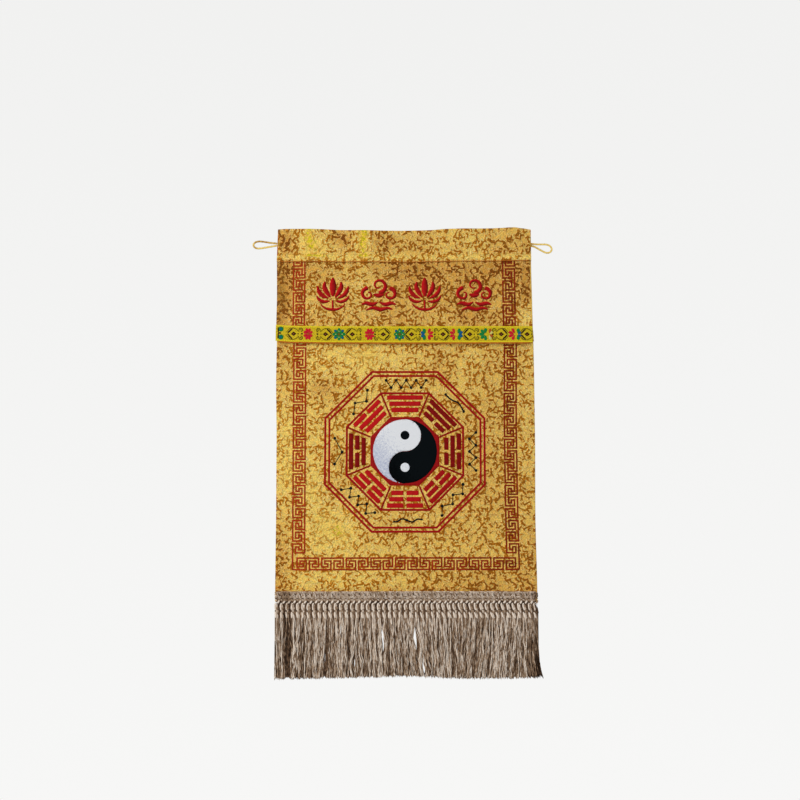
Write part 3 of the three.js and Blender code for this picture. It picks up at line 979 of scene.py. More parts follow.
# Every band's value after its width is how brightly its thread is painted lit.
for apothem, width, lie in OCTAGONS:
    satin(bm, "panel", octagon(apothem), width, closed=True, dye_and_painted_light=lie)
for inner, outer in zip(octagon(RING), octagon(OCTAGONS[-1][0])):
    satin(bm, "panel", [inner, outer], 2.3, dye_and_painted_light=0.22)
for n, (trigram, lie) in enumerate(TRIGRAMS):
    turn = math.radians(90 - 45 * n)
    out = Vector((math.cos(turn), math.sin(turn)))
    side = Vector((-out.y, out.x))
    for whole, (distance, half) in zip(trigram, BARS):
        spans = [(-half, half)] if whole == "1" else [(-half, -BAR_GAP / 2), (BAR_GAP / 2, half)]
        for a, b in spans:
            ends = [CENTRE + out * distance + side * t for t in (a, b)]
            satin(bm, "panel", ends, BAR_WIDTH, rise=0.6, across=6, dye_and_painted_light=lie)
patch(bm, "panel", octagon(RING), rise=0.4, dye_and_painted_light=0.3)
octagons = embroidered(bm, "octagon_embroidery", "embroidery_red", red_thread)

# %% [markdown]
# Between the octagons lie eight small figures of dots joined by lines, in black. Their dots are flat
# domes, and their lines are narrow satin bands.

# %% Dot figures
FIGURES_OF_DOTS = {  # points (x, z) from the emblem's centre
    "top": [(-22 + 5.84 * n, 82.8 if n % 2 == 0 else 74.2) for n in range(9)],
    "right": [(82.3 if n % 2 == 0 else 74.8, 21.8 - 7.33 * n) for n in range(7)],
    "foot_right": [(67.1, -38.2), (66.6, -49.1), (55.5, -50.3), (55, -60.7), (43, -63.3), (42.7, -74)],
    "foot_left": [(-73.5, -44.4), (-62.6, -42.7), (-64, -52.9), (-53.6, -51.7), (-54.6, -61.7),
                  (-44.1, -60.7), (-45.3, -71.6), (-34.9, -70.7)],
    "left": [(-81.5, 15), (-73, -0.9), (-81.5, -14.8)],
    "top_left": [(-43.9, 71), (-44.9, 58.3), (-58.1, 56.1), (-59.8, 43.5)],
}
WAVES_OF_DOTS = [  # a wavy line, and the dots on it
    ([(47.4, 66.2), (52, 61.5), (57, 58.6), (62, 56.4), (65.5, 51.5), (68.3, 46.1)], [0, 5]),
    ([(-13.8, -80.9), (-9, -80.9), (-3.5, -77.8), (2.2, -79.4), (8.4, -81.4), (14, -78.3),
      (20.5, -78.7)], [3]),
]
DOT = 1.8


def dot(piece_bm, layer, x, z, radius, rise, lift=0.0):
    """A flat round dome of thread."""
    def place(side, up, forward):
        point = on(layer, x + side * radius, z + up * radius, lift + forward * rise)
        return point, (side * radius * MM, up * radius * MM)

    ball(piece_bm, 14, 8, "dye_and_painted_light", 0.5, place)


def curved(points, steps=5):
    """A smooth line through (x, z) points."""
    line = smooth_line([(x, 0, z) for x, z in points], steps * (len(points) - 1))
    return [(p.x / MM, p.z / MM) for p in line]


bm = bmesh.new()
for points in FIGURES_OF_DOTS.values():
    placed = [tuple(CENTRE + Vector(p)) for p in points]
    satin(bm, "panel", placed, 1.2, across=3)
    for x, z in placed:
        dot(bm, "panel", x, z, DOT, 0.55)
for points, dots in WAVES_OF_DOTS:
    placed = [tuple(CENTRE + Vector(p)) for p in points]
    satin(bm, "panel", curved(placed), 2.1, across=3)
    for n in dots:
        dot(bm, "panel", *placed[n], DOT * 0.9, 0.55)
dots = embroidered(bm, "dot_figures", "embroidery_black", black_thread, 0.15)

# %% [markdown]
# ## The disc
#
# The disc is two comma shapes that fit together, one white and one black, each with a dot of the other.
# Their outlines are arcs, so a formula gives them. They are filled with close rows of thread, which
# makes a matt, grainy surface beside the glossy satin lines.

# %% Disc
def arc(cx, cz, radius, start, end, steps=24):
    """Points on an arc, with its angles in degrees."""
    angles = [math.radians(start + (end - start) * n / steps) for n in range(steps)]
    return [(cx + radius * math.cos(a), cz + radius * math.sin(a)) for a in angles]


def comma(turn):
    """One half of the disc: turn 0 is the half on the left, 180 the half on the right."""
    half = DISC / 2
    flip = 1 if turn == 0 else -1
    cx, cz = CENTRE
    return (arc(cx, cz, DISC, 90 + turn, 270 + turn, 60)
            + arc(cx, cz - flip * half, half, 270 + turn, 90 + turn, 30)
            + arc(cx, cz + flip * half, half, -90 + turn, 90 + turn, 30))


def filled_thread(name, light, dark, specular):
    """Rows of fill stitch with a grain of short stitches. Its attribute of painted light shifts it towards
    its lit colour.
    """
    material, tree, mm = cloth_material(name, 0.65, specular, turn=40)
    rows = add(tree, "TexWave", {"Vector": mm, "Scale": WAVE / 1.1, "Distortion": 1.2, "Detail": 2.0})
    grain = add(tree, "TexNoise", {"Vector": mm, "Scale": 0.4, "Detail": 4.0, "Roughness": 0.8})
    mixed = add(tree, "Math", {0: rows.outputs["Fac"], 1: 0.25, 2: grain.outputs["Fac"]},
                operation="MULTIPLY_ADD")
    lie = add(tree, "Attribute", attribute_name="dye_and_painted_light", attribute_type="GEOMETRY")
    mixed = add(tree, "Math", {0: mixed, 1: lie.outputs["Fac"]}, operation="ADD")
    ramp = add(tree, "ValToRGB", {"Fac": mixed}, stops=[(0.96, dark), (1.0, light)])
    return coat(material, ramp.outputs["Color"], rows.outputs["Fac"], 0.5, 0.15)


def fill_painted_shade(x, z):
    """Painted shade: the fill is painted darker towards the disc's lower left, which turns from the light."""
    return min(max(0.54 + 0.3 * ((x - CENTRE.x) * 0.8 + (z - CENTRE.y) * 0.6) / DISC, 0.3), 0.62)


white_fill = filled_thread("white rayon fill stitch", "#E8F0FC", "#B0BCDC", 0.12)
black_fill = filled_thread("black rayon fill stitch", "#0A1014", "#010304", 0.02)
for name, turn, thread, slot in (("disc_white", 0, white_fill, "embroidery_white"),
                                 ("disc_black", 180, black_fill, "embroidery_black")):
    flip = 1 if turn == 0 else -1
    bm = bmesh.new()
    patch(bm, "panel", comma(turn), rise=0.5, lift=0.42, dye_and_painted_light=fill_painted_shade)
    dot(bm, "panel", CENTRE.x, CENTRE.y - flip * DISC / 2, 5.5, 0.4, lift=0.85)
    embroidered(bm, name, slot, thread, 0.2)

# %% [markdown]
# ## Blossoms and clouds on the valance
#
# The valance carries a row of four satin-stitched motifs: a lotus blossom and a cloud scroll, by turns.
# Both are built from strokes that swell and taper, as an embroiderer lays them.

# %% Motifs
def swelling(width, least=0.25):
    """A stroke's width: thin at its ends, full in the middle."""
    return lambda f: width * (least + (1 - least) * math.sin(math.pi * f) ** 0.8)


def tapering(width, least=0.3):
    """A stroke's width: full at its start, thin at its end."""
    return lambda f: width * (1 - (1 - least) * f)


def lotus():
    """Strokes (route, width) of a lotus blossom on its stem, about a middle at (0, 0)."""
    strokes = [([(0, -4), (0, 4), (0, 17.5)], swelling(8.5))]
    for side in (-1, 1):
        strokes += [
            ([(side * 2.5, -5), (side * 6.5, 1), (side * 9, 7), (side * 8.5, 13)], swelling(6.2)),
            ([(side * 5, -6), (side * 11, -3), (side * 15, 2), (side * 16.5, 8)], swelling(5.4)),
            ([(side * 3, -9), (side * 9, -10), (side * 14.5, -7.5), (side * 17.5, -3)], swelling(4.4)),
            ([(0, -19), (side * 6, -18), (side * 11.5, -14.5), (side * 13, -11.5)], tapering(4.2)),
        ]
    return strokes + [([(0, -8), (0, -13), (0, -19)], 2.6)]


def cloud():
    """Strokes of a three-headed cloud scroll with two trailing waves."""
    def spiral(cx, cz, radius, start, sweep):
        steps = 14
        return [(cx + radius * (1 - 0.7 * n / steps) * math.cos(math.radians(start + sweep * n / steps)),
                 cz + radius * (1 - 0.7 * n / steps) * math.sin(math.radians(start + sweep * n / steps)))
                for n in range(steps + 1)]
    strokes = [(spiral(0, 8.5, 8.6, 270, 380), tapering(6.0)),
               ([(-5.5, -1.5), (0, -3), (5.5, -1.5)], swelling(5.8))]
    for side in (-1, 1):
        strokes.append((spiral(side * 11.5, -1.5, 7.2, 90, -side * 360), tapering(5.6)))
        strokes.append(([(side * 1, -10.5), (side * 7, -13), (side * 13, -11.5), (side * 18.5, -13)],
                        swelling(5.4)))
    return strokes + [([(-14, -19.5), (-6, -16.8), (2, -18.8), (9, -17), (15, -18.5)], swelling(5.0))]


MOTIFS = [(-84, -77, lotus), (-30, -77, cloud), (24, -77, lotus), (82, -77, cloud)]
# The motifs' thread is painted partly lit, and turn paints a highlight on each stroke's upper left side and
# shade on its other side.
bm = bmesh.new()
for x, z, motif in MOTIFS:
    for route, width in motif():
        placed = [(x + 1.1 * px, z + 1.06 * pz) for px, pz in route]
        satin(bm, "valance", curved(placed, 3) if len(placed) < 8 else placed, width, rise=0.5,
              dye_and_painted_light=0.36, turn=0.4)
motifs = embroidered(bm, "valance_motifs", "embroidery_red", red_thread)

# %% [markdown]
# ## The woven ribbon
#
# The ribbon is a jacquard: its figures are woven in, not sewn on, so they stand only a tenth of a
# millimetre proud. The band itself is a thin sheet. The figures are low satin shapes with a dye
# attribute that picks their colour, which lets one material serve them all.

# %% Ribbon band
RIBBON_HEIGHT = 18.9
SELVEDGE = 1.9                  # width of the ribbon's plain edges


def ribbon_middle(x):
    """The height of the ribbon's centre line."""
    return (read(RIBBON_EDGES, x, 1) + read(RIBBON_EDGES, x, 2)) / 2


def woven_ribbon(name):
    """Ribbed woven ribbon: bright plain edges, and a field crossed by dull weft specks."""
    material, tree, mm = cloth_material(name, 0.55, 0.12)
    ribs = add(tree, "TexWave", {"Vector": mm, "Scale": WAVE, "Distortion": 0.4})
    specks = add(tree, "TexNoise", {"Vector": mm, "Scale": 0.8, "Detail": 3.0}, noise_dimensions="2D")
    mixed = add(tree, "Math", {0: ribs.outputs["Fac"], 1: 0.12, 2: specks.outputs["Fac"]},
                operation="MULTIPLY_ADD")
    field = add(tree, "ValToRGB", {"Fac": mixed}, stops=[(0.38, "#A48A12"), (0.62, "#D9C41E")])
    edge = add(tree, "ValToRGB", {"Fac": mixed}, stops=[(0.38, "#D3BE18"), (0.68, "#EBDD2A")])
    height = add(tree, "SeparateXYZ", {0: mm})
    middle_line = add(tree, "Math", {0: height.outputs["Y"], 1: RIBBON_HEIGHT / 2}, operation="ADD")
    away = add(tree, "Math", {0: middle_line}, operation="ABSOLUTE")
    plain = add(tree, "MapRange", {"Value": away, "From Min": RIBBON_HEIGHT / 2 - SELVEDGE - 0.3,
                                   "From Max": RIBBON_HEIGHT / 2 - SELVEDGE + 0.3})
    both = add(tree, "Mix", {"Factor": plain, "A": field, "B": edge}, data_type="RGBA")
    return coat(material, both.outputs["Result"], ribs.outputs["Fac"], 0.4, 0.1)


def ribbon_place(column, row):
    left, right = read(SIDES, -125, 1) - 0.6, read(SIDES, -125, 2) - 0.8
    x = left + (right - left) * column[1] / WIDTH
    z = ribbon_middle(x) + RIBBON_HEIGHT / 2 - row[1]
    selvedge = 0.25 if row[1] < 0.9 or row[1] > RIBBON_HEIGHT - 0.9 else 0.0
    forward = middle("ribbon", x, z) - column[2] + selvedge
    return Vector((x, -forward, z)) * MM, 0.5


bm = bmesh.new()
ribbon_rows = [(h, h) for h in (0, 0.5, 0.9, 1.4, *[1.4 + 2.3 * n for n in range(1, 7)],
                                RIBBON_HEIGHT - 1.4, RIBBON_HEIGHT - 0.9, RIBBON_HEIGHT - 0.5, RIBBON_HEIGHT)]
ribbon = sheet("ribbon_band", "ribbon", [woven_ribbon("yellow woven ribbon")], "ribbon",
               stations(WIDTH, 6, 6), ribbon_rows, ribbon_place, CLOTH * 0.8)

# %% [markdown]
# The figures alternate: a red flower, then a green and blue one, with a brown diamond, a chevron and
# olive scrolls between. On the right half two narrower flowers stand side by side in each place.
#
# Every figure is a few strokes about a point on the ribbon's centre line. A petal is a stroke that
# swells near its outer end.

# %% Figures of the ribbon
DYES = ["#C8142E", "#B0521E", "#12803E", "#0F5A8C", "#2A1706", "#6C5E08", "#D2CC7A"]
RED, ORANGE, GREEN, BLUE, BROWN, OLIVE, CREAM = range(7)


def petal(width):
    """A petal's width along its length: narrow at the heart of the flower, round at its tip."""
    return lambda f: width * max(math.sqrt(max(1 - ((f - 0.6) / 0.44) ** 2, 0)), 0.3 * (1 - f) + 0.05)


def lozenge(width):
    """A diamond's width along its length."""
    return lambda f: width * (1 - abs(2 * f - 1)) + 0.3


def weave(bm, x, route, width, colour, rise=0.12, lift=0.0):
    """A woven stroke about x on the ribbon's centre line. Strokes past the ribbon's ends are cut off."""
    placed = [(x + px, ribbon_middle(x + px) + pz) for px, pz in route]
    if all(-149.2 < px < 149.4 for px, _ in placed):
        satin(bm, "ribbon", placed, width, rise=rise, across=3, dye_and_painted_light=colour / 6, lift=lift)


BLOSSOMS = {  # angle of the first petal, the colours of its eight petals, their width, and the heart
    "red": (22.5, [RED] * 8, 3.5, ORANGE),
    "pale": (22.5, [CREAM, ORANGE] * 4, 3.3, ORANGE),
    "green": (0, [GREEN] * 8, 4.0, OLIVE),
    "blue": (22.5, [BLUE, GREEN, GREEN, BLUE] * 2, 4.0, OLIVE),
}


def flower(bm, x, kind, half, reach):
    """A blossom whose heart is at x. half is -1 or 1 for its left or right half only, or 0 for all of it."""
    start, colours, width, heart = BLOSSOMS[kind]
    for n, colour in enumerate(colours):
        angle = math.radians(start + 45 * n)
        if half * math.cos(angle) < -0.01:
            continue
        route = [(r * reach * math.cos(angle), r * 7.2 * math.sin(angle)) for r in (0.2, 0.6, 1.0)]
        weave(bm, x, route, petal(width), colour)
    if half:
        return
    weave(bm, x, [(-1.9, 0), (0, 0), (1.9, 0)], lozenge(3.8), heart, 0.2, 0.1)
    if kind == "green":                                 # blue drops on the diagonals, pale specks between
        for n in range(8):
            angle = math.radians(45 * n)
            size, colour, r = (3.0, BLUE, (4.2, 5.9, 7.6)) if n % 2 else (1.2, CREAM, (3.0, 3.7, 4.4))
            route = [(a * math.cos(angle), a * math.sin(angle) * 0.95) for a in r]
            weave(bm, x, route, lozenge(size), colour, 0.25, 0.1)


def diamond(bm, x, side):
    """A diamond with its chevrons on one side, and dots and scrolls on the other."""
    weave(bm, x, [(-3.2, 0), (0, 0), (3.2, 0)], lozenge(5.0), BROWN)
    weave(bm, x, [(-0.8, 0), (0, 0), (0.8, 0)], lozenge(1.2), ORANGE, 0.1, 0.1)
    for up in (-1, 1):
        weave(bm, x, [(side * 1.6, up * 6.0), (side * 4.4, up * 3.6), (side * 7.2, up * 0.4)],
              swelling(1.9, 0.6), BROWN)
        weave(bm, x, [(-side * 6.2, up * 2.4), (-side * 3.2, up * 5.4), (side * 0.4, up * 6.9),
                      (side * 4.6, up * 6.3), (side * 9.0, up * 1.2)], swelling(1.1, 0.7), OLIVE)
        curl = [(-side * (8.2 + 2.1 * math.cos(a)), up * (4.6 + 2.1 * math.sin(a)))
                for a in [math.radians(-80 + 36 * n) for n in range(9)]]
        weave(bm, x, curl, tapering(1.5, 0.7), OLIVE)
        weave(bm, x, [(-side * 9.1, up * 4.6), (-side * 8.2, up * 4.6), (-side * 7.3, up * 4.6)],
              lozenge(1.6), OLIVE)
    for away, size in ((5.3, 1.5), (9.6, 2.4)):
        ends = [(-side * (away + size / 2), 0), (-side * away, 0), (-side * (away - size / 2), 0)]
        weave(bm, x, ends, lozenge(size), BROWN)


# %% [markdown]
# The figures stand in a row, and the cut end at the left shows part of one more. The dye attribute
# picks each stroke's colour from a ramp of flat steps.

# %% Ribbon figures
FLOWERS = [  # x of the heart, blossom, half, reach
    (-112.4, "red", 0, 5.6), (-76.3, "green", 0, 7.8), (-40.5, "red", 0, 5.9), (-5.6, "green", 0, 6.8),
    (24.8, "blue", -1, 5.8), (27.4, "red", 1, 6.8), (59.2, "red", -1, 6.6), (62.3, "blue", 1, 6.2),
    (94.8, "green", -1, 7.6), (98.8, "pale", 1, 4.8), (129.0, "red", -1, 7.8), (131.8, "blue", 1, 4.2)]
DIAMONDS = [  # x, and the side on which its chevrons stand
    (-129.3, -1), (-92.1, 1), (-60.8, -1), (-24.6, 1), (8.4, -1), (45.1, 1), (76.3, -1), (113.0, 1),
    (143.2, -1)]

bm = bmesh.new()
for where, side in DIAMONDS:
    diamond(bm, where, side)
for where, kind, half, reach in FLOWERS:
    flower(bm, where, kind, half, reach)
for up in (-1, 1):                                      # the cut end shows two dark rosettes
    weave(bm, -144.6, [(-3.2, up * 4.6), (0, up * 4.8), (3.2, up * 4.6)], swelling(6.2, 0.5), GREEN)
    weave(bm, -144.6, [(-1.6, up * 4.8), (0, up * 4.8), (1.6, up * 4.8)], lozenge(3.2), BLUE, 0.2, 0.1)
    weave(bm, -147.6, [(0, up * 1.0), (0, up * 3.4), (0, up * 6.6)], 1.5, BROWN, 0.2, 0.1)
weave(bm, -146.2, [(-1.6, 0), (0, 0), (1.8, 0)], 2.0, BROWN, 0.2, 0.1)

material, tree, shader = new_material("jacquard figure threads", roughness=0.55, specular=0.12)
picked = add(tree, "Attribute", attribute_name="dye_and_painted_light", attribute_type="GEOMETRY")
ramp = add(tree, "ValToRGB", {"Fac": picked.outputs["Fac"]},
           stops=[(max((n - 0.5) / 6, 0), colour) for n, colour in enumerate(DYES)])
ramp.color_ramp.interpolation = "CONSTANT"
tree.links.new(ramp.outputs["Color"], shader.inputs["Base Color"])
figures = embroidered(bm, "ribbon_figures", "ribbon", material, 0.1)

# %% [markdown]
# Raw edges are overcast with a close zigzag of thread. An orange-brown one shows under the ribbon, where
# it binds the valance's hem and also paints the line of shade under the ribbon, and at the heading's left
# end. Along the heading's foot the same orange-brown band is painted shade, the shaded underside of the
# turned-under foot. A pale gold one binds the valance's right side.

# %% Overcast edges
def overcast_thread(name, light, dark):
    """Thread wrapped over an edge. The wraps are drawn at 1.4 mm; real ones lie 0.7 mm apart."""
    material, tree, mm = cloth_material(name, 0.55, 0.15, turn=25)
    wraps = add(tree, "TexWave", {"Vector": mm, "Scale": WAVE / 1.4, "Distortion": 1.0})
    patchy = add(tree, "TexNoise", {"Vector": mm, "Scale": 0.2, "Detail": 2.0})
    mixed = add(tree, "Math", {0: wraps.outputs["Fac"], 1: 0.4, 2: patchy.outputs["Fac"]},
                operation="MULTIPLY_ADD")
    ramp = add(tree, "ValToRGB", {"Fac": mixed}, stops=[(0.4, dark), (0.95, light)])
    return coat(material, ramp.outputs["Color"], wraps.outputs["Fac"], 0.5, 0.2)


bm = bmesh.new()
# Partly the valance's hem binding, partly a painted line of shade under the ribbon.
hem = [(x, ribbon_middle(x) - RIBBON_HEIGHT / 2 - 0.7) for x in range(-147, 150, 6)]
satin(bm, "ribbon", hem, 1.9, rise=0.5, lift=-0.3)
end = [(read(SIDES, z, 1) + 0.5, z) for z in range(-32, -2, 6)]
satin(bm, "heading", end, 1.0, rise=0.3)
# Painted shade: an orange-brown band along the shaded underside of the heading's turned-under foot.
foot = [(x, read(HEADING_FOOT, x) - HEADING_DROP + 0.25) for x in range(-147, 150, 6)]
satin(bm, "heading", foot, 0.9, rise=0.3)
orange = overcast_thread("orange-brown overcasting and painted shade line", "#D8822A", "#9C4A0C")
embroidered(bm, "overcast_orange_and_painted_shade_line", "cord", orange)
bm = bmesh.new()
side = [(read(SIDES, z, 2) - 0.6, z) for z in range(-114, -38, 6)]
satin(bm, "valance", side, 1.4, rise=0.35)
embroidered(bm, "overcast_gold", "cord", overcast_thread("pale gold overcasting", "#F2D878", "#C99A3A"))

# %% [markdown]
# Rows of small stitches hold the layers: along the heading's foot and the ribbon's two edges.

# %% Sewing
def along_ribbon(inset):
    """The route of a row of stitches, measured up or down from the ribbon's centre."""
    return [(x, ribbon_middle(x) + inset) for x in range(-148, 150, 8)]


bm = bmesh.new()
running_stitch(bm, "heading", [(x, read(HEADING_FOOT, x) + TOPSTITCH) for x in range(-148, 149, 12)])
running_stitch(bm, "ribbon", along_ribbon(RIBBON_HEIGHT / 2 - 1.6), 1.6, 2.6, 0.2)
running_stitch(bm, "ribbon", along_ribbon(1.6 - RIBBON_HEIGHT / 2), 1.6, 2.6, 0.2)
for x, z in ((-148.6, -18.8), (148.7, -19.2)):          # the tack that holds each cord
    for n in range(4):
        capsule(bm, on("heading", x + 0.5 * (n % 2), z + 1.1 * (n - 1.5), 0.2),
                Vector((1, 0, 0.2 - 0.3 * (n % 2))),
                1.6, 0.5, 0.45)
piece(bm, "sewing_stitches", "cord", yellow_thread)

# %% [markdown]
# ## The fringe
#
# A bought fringe has a woven header, a chain, a row of small loops, a knot at the head of every bunch,
# and the loose threads. All are of one lustrous thread, whose shade attribute
# goes from deep shadow to full light. A fixed seed makes the threads fall the same way every time.

# %% Fringe material
def fringe_thread(name, stops):
    """Lustrous twisted thread whose shade attribute goes from shadowed to bright."""
    material, tree, mm = cloth_material(name, 0.5, 0.15)
    shade = add(tree, "Attribute", attribute_name="shade", attribute_type="GEOMETRY")
    slow = add(tree, "TexNoise", {"Vector": mm, "Scale": 0.24, "Detail": 2.0})
    uneven = add(tree, "Math", {0: slow.outputs["Fac"], 1: -0.5}, operation="ADD")
    mixed = add(tree, "Math", {0: uneven, 1: 1.3, 2: shade.outputs["Fac"]}, operation="MULTIPLY_ADD")
    ramp = add(tree, "ValToRGB", {"Fac": mixed}, stops=stops)
    twist = add(tree, "Mapping", {"Vector": mm, "Rotation": (0, 0, math.radians(50))})
    plies = add(tree, "TexWave", {"Vector": twist, "Scale": WAVE / 1.3})
    return coat(material, ramp.outputs["Color"], plies.outputs["Fac"], 0.4, 0.15)


taupe = fringe_thread("taupe rayon fringe thread",
                      [(0.0, "#2E2016"), (0.3, "#725945"), (0.6, "#AE967F"), (0.95, "#F2E8DE")])

# %% [markdown]
# The header is a thin woven tape under rows of stitches that slant by turns to the left and the right.
# At the head of every bunch, five larger stitches make the chain.

# %% Fringe header
BUNCHES = 49
FRINGE_TOP = -422.5
FRINGE_LEFT = read(SIDES, -422, 1) - 0.6
FRINGE_RIGHT = read(SIDES, -422, 2) + 0.6
FRINGE_OUT = 0.9                # how far in front of the panel's middle the fringe's back lies
PITCH = (FRINGE_RIGHT - FRINGE_LEFT) / BUNCHES
dice = random.Random(7)


def fringe_at(x, z, out):
    """A point on the fringe, out millimetres in front of its back, in metres."""
    return Vector((x, -(fold(x, max(z, -448)) + FRINGE_OUT + out), z)) * MM


def stitch(bm, bunch, u, z, slant, half_length, radius, shade, out):
    """A slanted stitch of the fringe. u says how far across its bunch it lies, from 0 to 1."""
    x = FRINGE_LEFT + (bunch + u) * PITCH + dice.uniform(-0.15, 0.15)
    lean = math.radians(slant + dice.uniform(-8, 8))
    # Painted shade darkens the stitches at the fringe's ends; the rest of their shade varies at random.
    shade += min(read(SHADES, x), 0) + dice.uniform(-0.15, 0.15)
    capsule(bm, fringe_at(x, z + dice.uniform(-0.2, 0.2), out), Vector((math.sin(lean), 0, math.cos(lean))),
            half_length, radius, radius, max(shade, 0))


SHADES = [  # x, and how much lighter or darker the thread is there
    (-150, 0.05), (-146, 0.0), (-142, -0.15), (-138, -0.25), (-136, -0.4), (-134, -0.3), (-130, -0.1),
    (-126, 0.0), (0, 0.0), (90, 0.05), (138, 0.0), (144, -0.15), (149, -0.4), (152, -0.45),
]
GROUND = [(-424.2, -32), (-425.7, 30), (-427.2, -30), (-428.7, 32), (-430.2, -32)]      # z, slant
HEADER = [  # u, z, slant, half length, radius, shade, out: the stitches at the head of each bunch
    (0.86, -426.0, -26, 1.7, 0.5, 0.2, 1.9), (0.64, -427.2, -18, 3.2, 0.42, 0.85, 1.7),
    (0.3, -430.6, 90, 1.5, 0.35, 0.15, 1.8), (0.3, -432.0, -60, 1.5, 0.6, 0.75, 1.8),
    (0.78, -434.4, 36, 2.2, 1.25, 1.1, 2.0)]
bm = bmesh.new()
tape = [FRINGE_LEFT + 0.3 + (FRINGE_RIGHT - FRINGE_LEFT - 0.6) * n / 80 for n in range(81)]
for n in range(5):
    tube(bm, [fringe_at(x, FRINGE_TOP - 0.9 - 1.6 * n, 0.5) for x in tape], 0.85 * MM, 6, shade=0.66)
# The tape runs on down behind the loops, painted dark there as the shade behind them.
for n in range(11):
    tube(bm, [fringe_at(x, FRINGE_TOP - 8.8 - 1.6 * n, 0.3) for x in tape], 0.85 * MM, 6,
         0.6 if n < 2 else 0.3)
for bunch in range(BUNCHES):
    for z, slant in GROUND:
        for n in range(5):
            stitch(bm, bunch, (n + 0.5) / 5, z, slant, 0.9, 0.45, dice.choice((0.45, 0.65, 0.75, 0.95)), 1.3)
    for row in HEADER:
        stitch(bm, bunch, *row)
header = piece(bm, "fringe_header", "fringe", taupe, replaces=["fringe"])

# %% [markdown]
# Under the chain each bunch is a loop of three strands, and two thick stitches make its knot. The strands
# are painted lit on the left and shaded on the right, and a thin cord across their feet is painted dark as
# the line of shade there. Threads painted dark, as shade, hang behind them all; they come with the loose
# threads below.

# %% Loops, knots and the cord across them
LOOP = [(0.46, -435.5), (0.26, -436.7), (0.18, -439.0), (0.2, -441.5), (0.26, -444.0)]     # u, z
KNOT = -446.0
LEANING = [(-150, 0), (0, 0), (60, 1)]      # the loops and knots lean over towards the fringe's right end
bm = bmesh.new()
for n in range(BUNCHES):
    left = FRINGE_LEFT + n * PITCH + dice.uniform(-0.2, 0.2)
    leaning = read(LEANING, left)
    # The first strand is painted lit, the other two darker as the loop turns from the light; the knot's first
    # stitch is painted brighter than its second.
    strands = [([(u + dice.uniform(-0.04, 0.04), z) for u, z in LOOP], 0.85, 1.2, 2.2),
               ([(0.5, -436.6), (0.48, -441.0), (0.46, -448.0)], 1.1, 0.78, 1.6),
               ([(0.74, -439.6), (0.72, -444.0), (0.68, -448.0)], 0.8, 0.5, 1.1)]
    for route, radius, shade, out in strands:
        route = curved([(left + PITCH * (u + 0.035 * leaning * (-438 - z)), z) for u, z in route], 3)
        # Painted shade at the fringe's ends.
        dull = min(read(SHADES, route[-1][0]), 0)
        tube(bm, [fringe_at(x, z, out) for x, z in route], radius * MM, 6,
             max(shade + dull + dice.uniform(-0.2, 0.1), 0))
    for u, z, half_length, radius, shade in ((0.28, -449.0, 3.9, 1.2, 1.3), (0.58, -449.6, 3.6, 1.0, 0.75)):
        stitch(bm, n, u + 0.1 * leaning, z, -10 - 9 * leaning, half_length, radius, shade, 2.5)
# A thin cord across the loops' feet, painted dark as the line of shade there.
cord = [fringe_at(x, -443.0 + 0.3 * math.sin(x), 2.2 + 0.3 * math.sin(1.3 * x)) for x in tape]
tube(bm, cord, 0.32 * MM, 6, shade=0.15)
knots = piece(bm, "fringe_knots", "fringe", taupe)

# %% [markdown]
# Each bunch has two dozen threads in four wavy locks. A thread leaves the knot close to its neighbours,
# spreads as it falls, and ends at its own height. Whole bunches swing to one side, and here and there
# they part, which opens the few slits of daylight. The last bunch on the right flares away from the
# cloth.

# %% Fringe threads
THREAD_STEPS = 34
THREADS = 24
SWING = [  # x, height of the tips, swing, flare at the tips
    (-150, -521, 0.5, 0), (-120, -520.5, -1.5, 0), (-60, -519.5, -2.0, 0), (0, -518, 2.0, 0),
    (20, -518.3, 4.0, 0), (50, -520, 0.0, 0), (80, -520.3, -5.5, 0), (118, -520.3, -6.0, 0),
    (136, -520, -1.5, 0), (143, -519.6, 0.5, 1.2), (152, -518.5, 0.5, 3.7),
]
PARTINGS = [  # x, z, length, half width, lean
    (-136, -452, 16, 0.3, 0), (-90, -497, 12, 0.45, 0), (-73, -467, 14, 0.75, 0),
    (-55, -504, 10, 2.0, 0.05), (-25, -476, 20, 1.2, 0.1), (12.5, -478, 13, 2.0, 0.12),
    (21.5, -506, 14, 2.2, 0.15),
]


def parted(base, z):
    """How far the thread that would fall at base is pushed sideways at z by the partings near it."""
    push = 0.0
    for x, middle_z, length, half, lean in PARTINGS:
        bell = math.exp(-((base - x) / 5) ** 2 - ((z - middle_z) / length) ** 2)
        push += (math.copysign(half, base - x) + lean * (middle_z - z)) * bell
    return push


def thread_line(x, spread, gather, depth, tip, lean, waves):
    """One thread's line from knot to tip. gather is the share of its spread that it has at the knot."""
    line = []
    swing = read(SWING, x, 2) * (gather < 1) + lean
    for i in range(THREAD_STEPS + 1):
        f = i / THREAD_STEPS
        z = KNOT - 2.0 + (tip - KNOT + 2.0) * f
        ease = min(f * 3, 1) ** 0.7
        side = (x + spread * (gather + (1 - gather) * ease) - 0.3 * (1 - gather) * (1 - ease)
                + swing * f ** 1.5 + read(SWING, x + spread, 3) * f ** 6)
        out = 1.6 + depth * (0.3 + 0.7 * ease)
        for amplitude, phase, turns in waves:
            side += amplitude * ease * math.sin(phase + turns * f)
            out += 0.5 * amplitude * ease * math.cos(1.7 * phase + turns * f)
        side = min(max(side, FRINGE_LEFT + 1.4), FRINGE_RIGHT - 0.6 + 5.5 * f ** 5)
        line.append(fringe_at(side + parted(x + spread, z) * ease, z, out))
    return line


def ripple(amplitude, slow, fast):
    """A random wave: amplitude, phase, and turns in radians along the thread."""
    return (amplitude * dice.uniform(0.5, 1.2), dice.uniform(0, 6.3), dice.uniform(slow, fast))


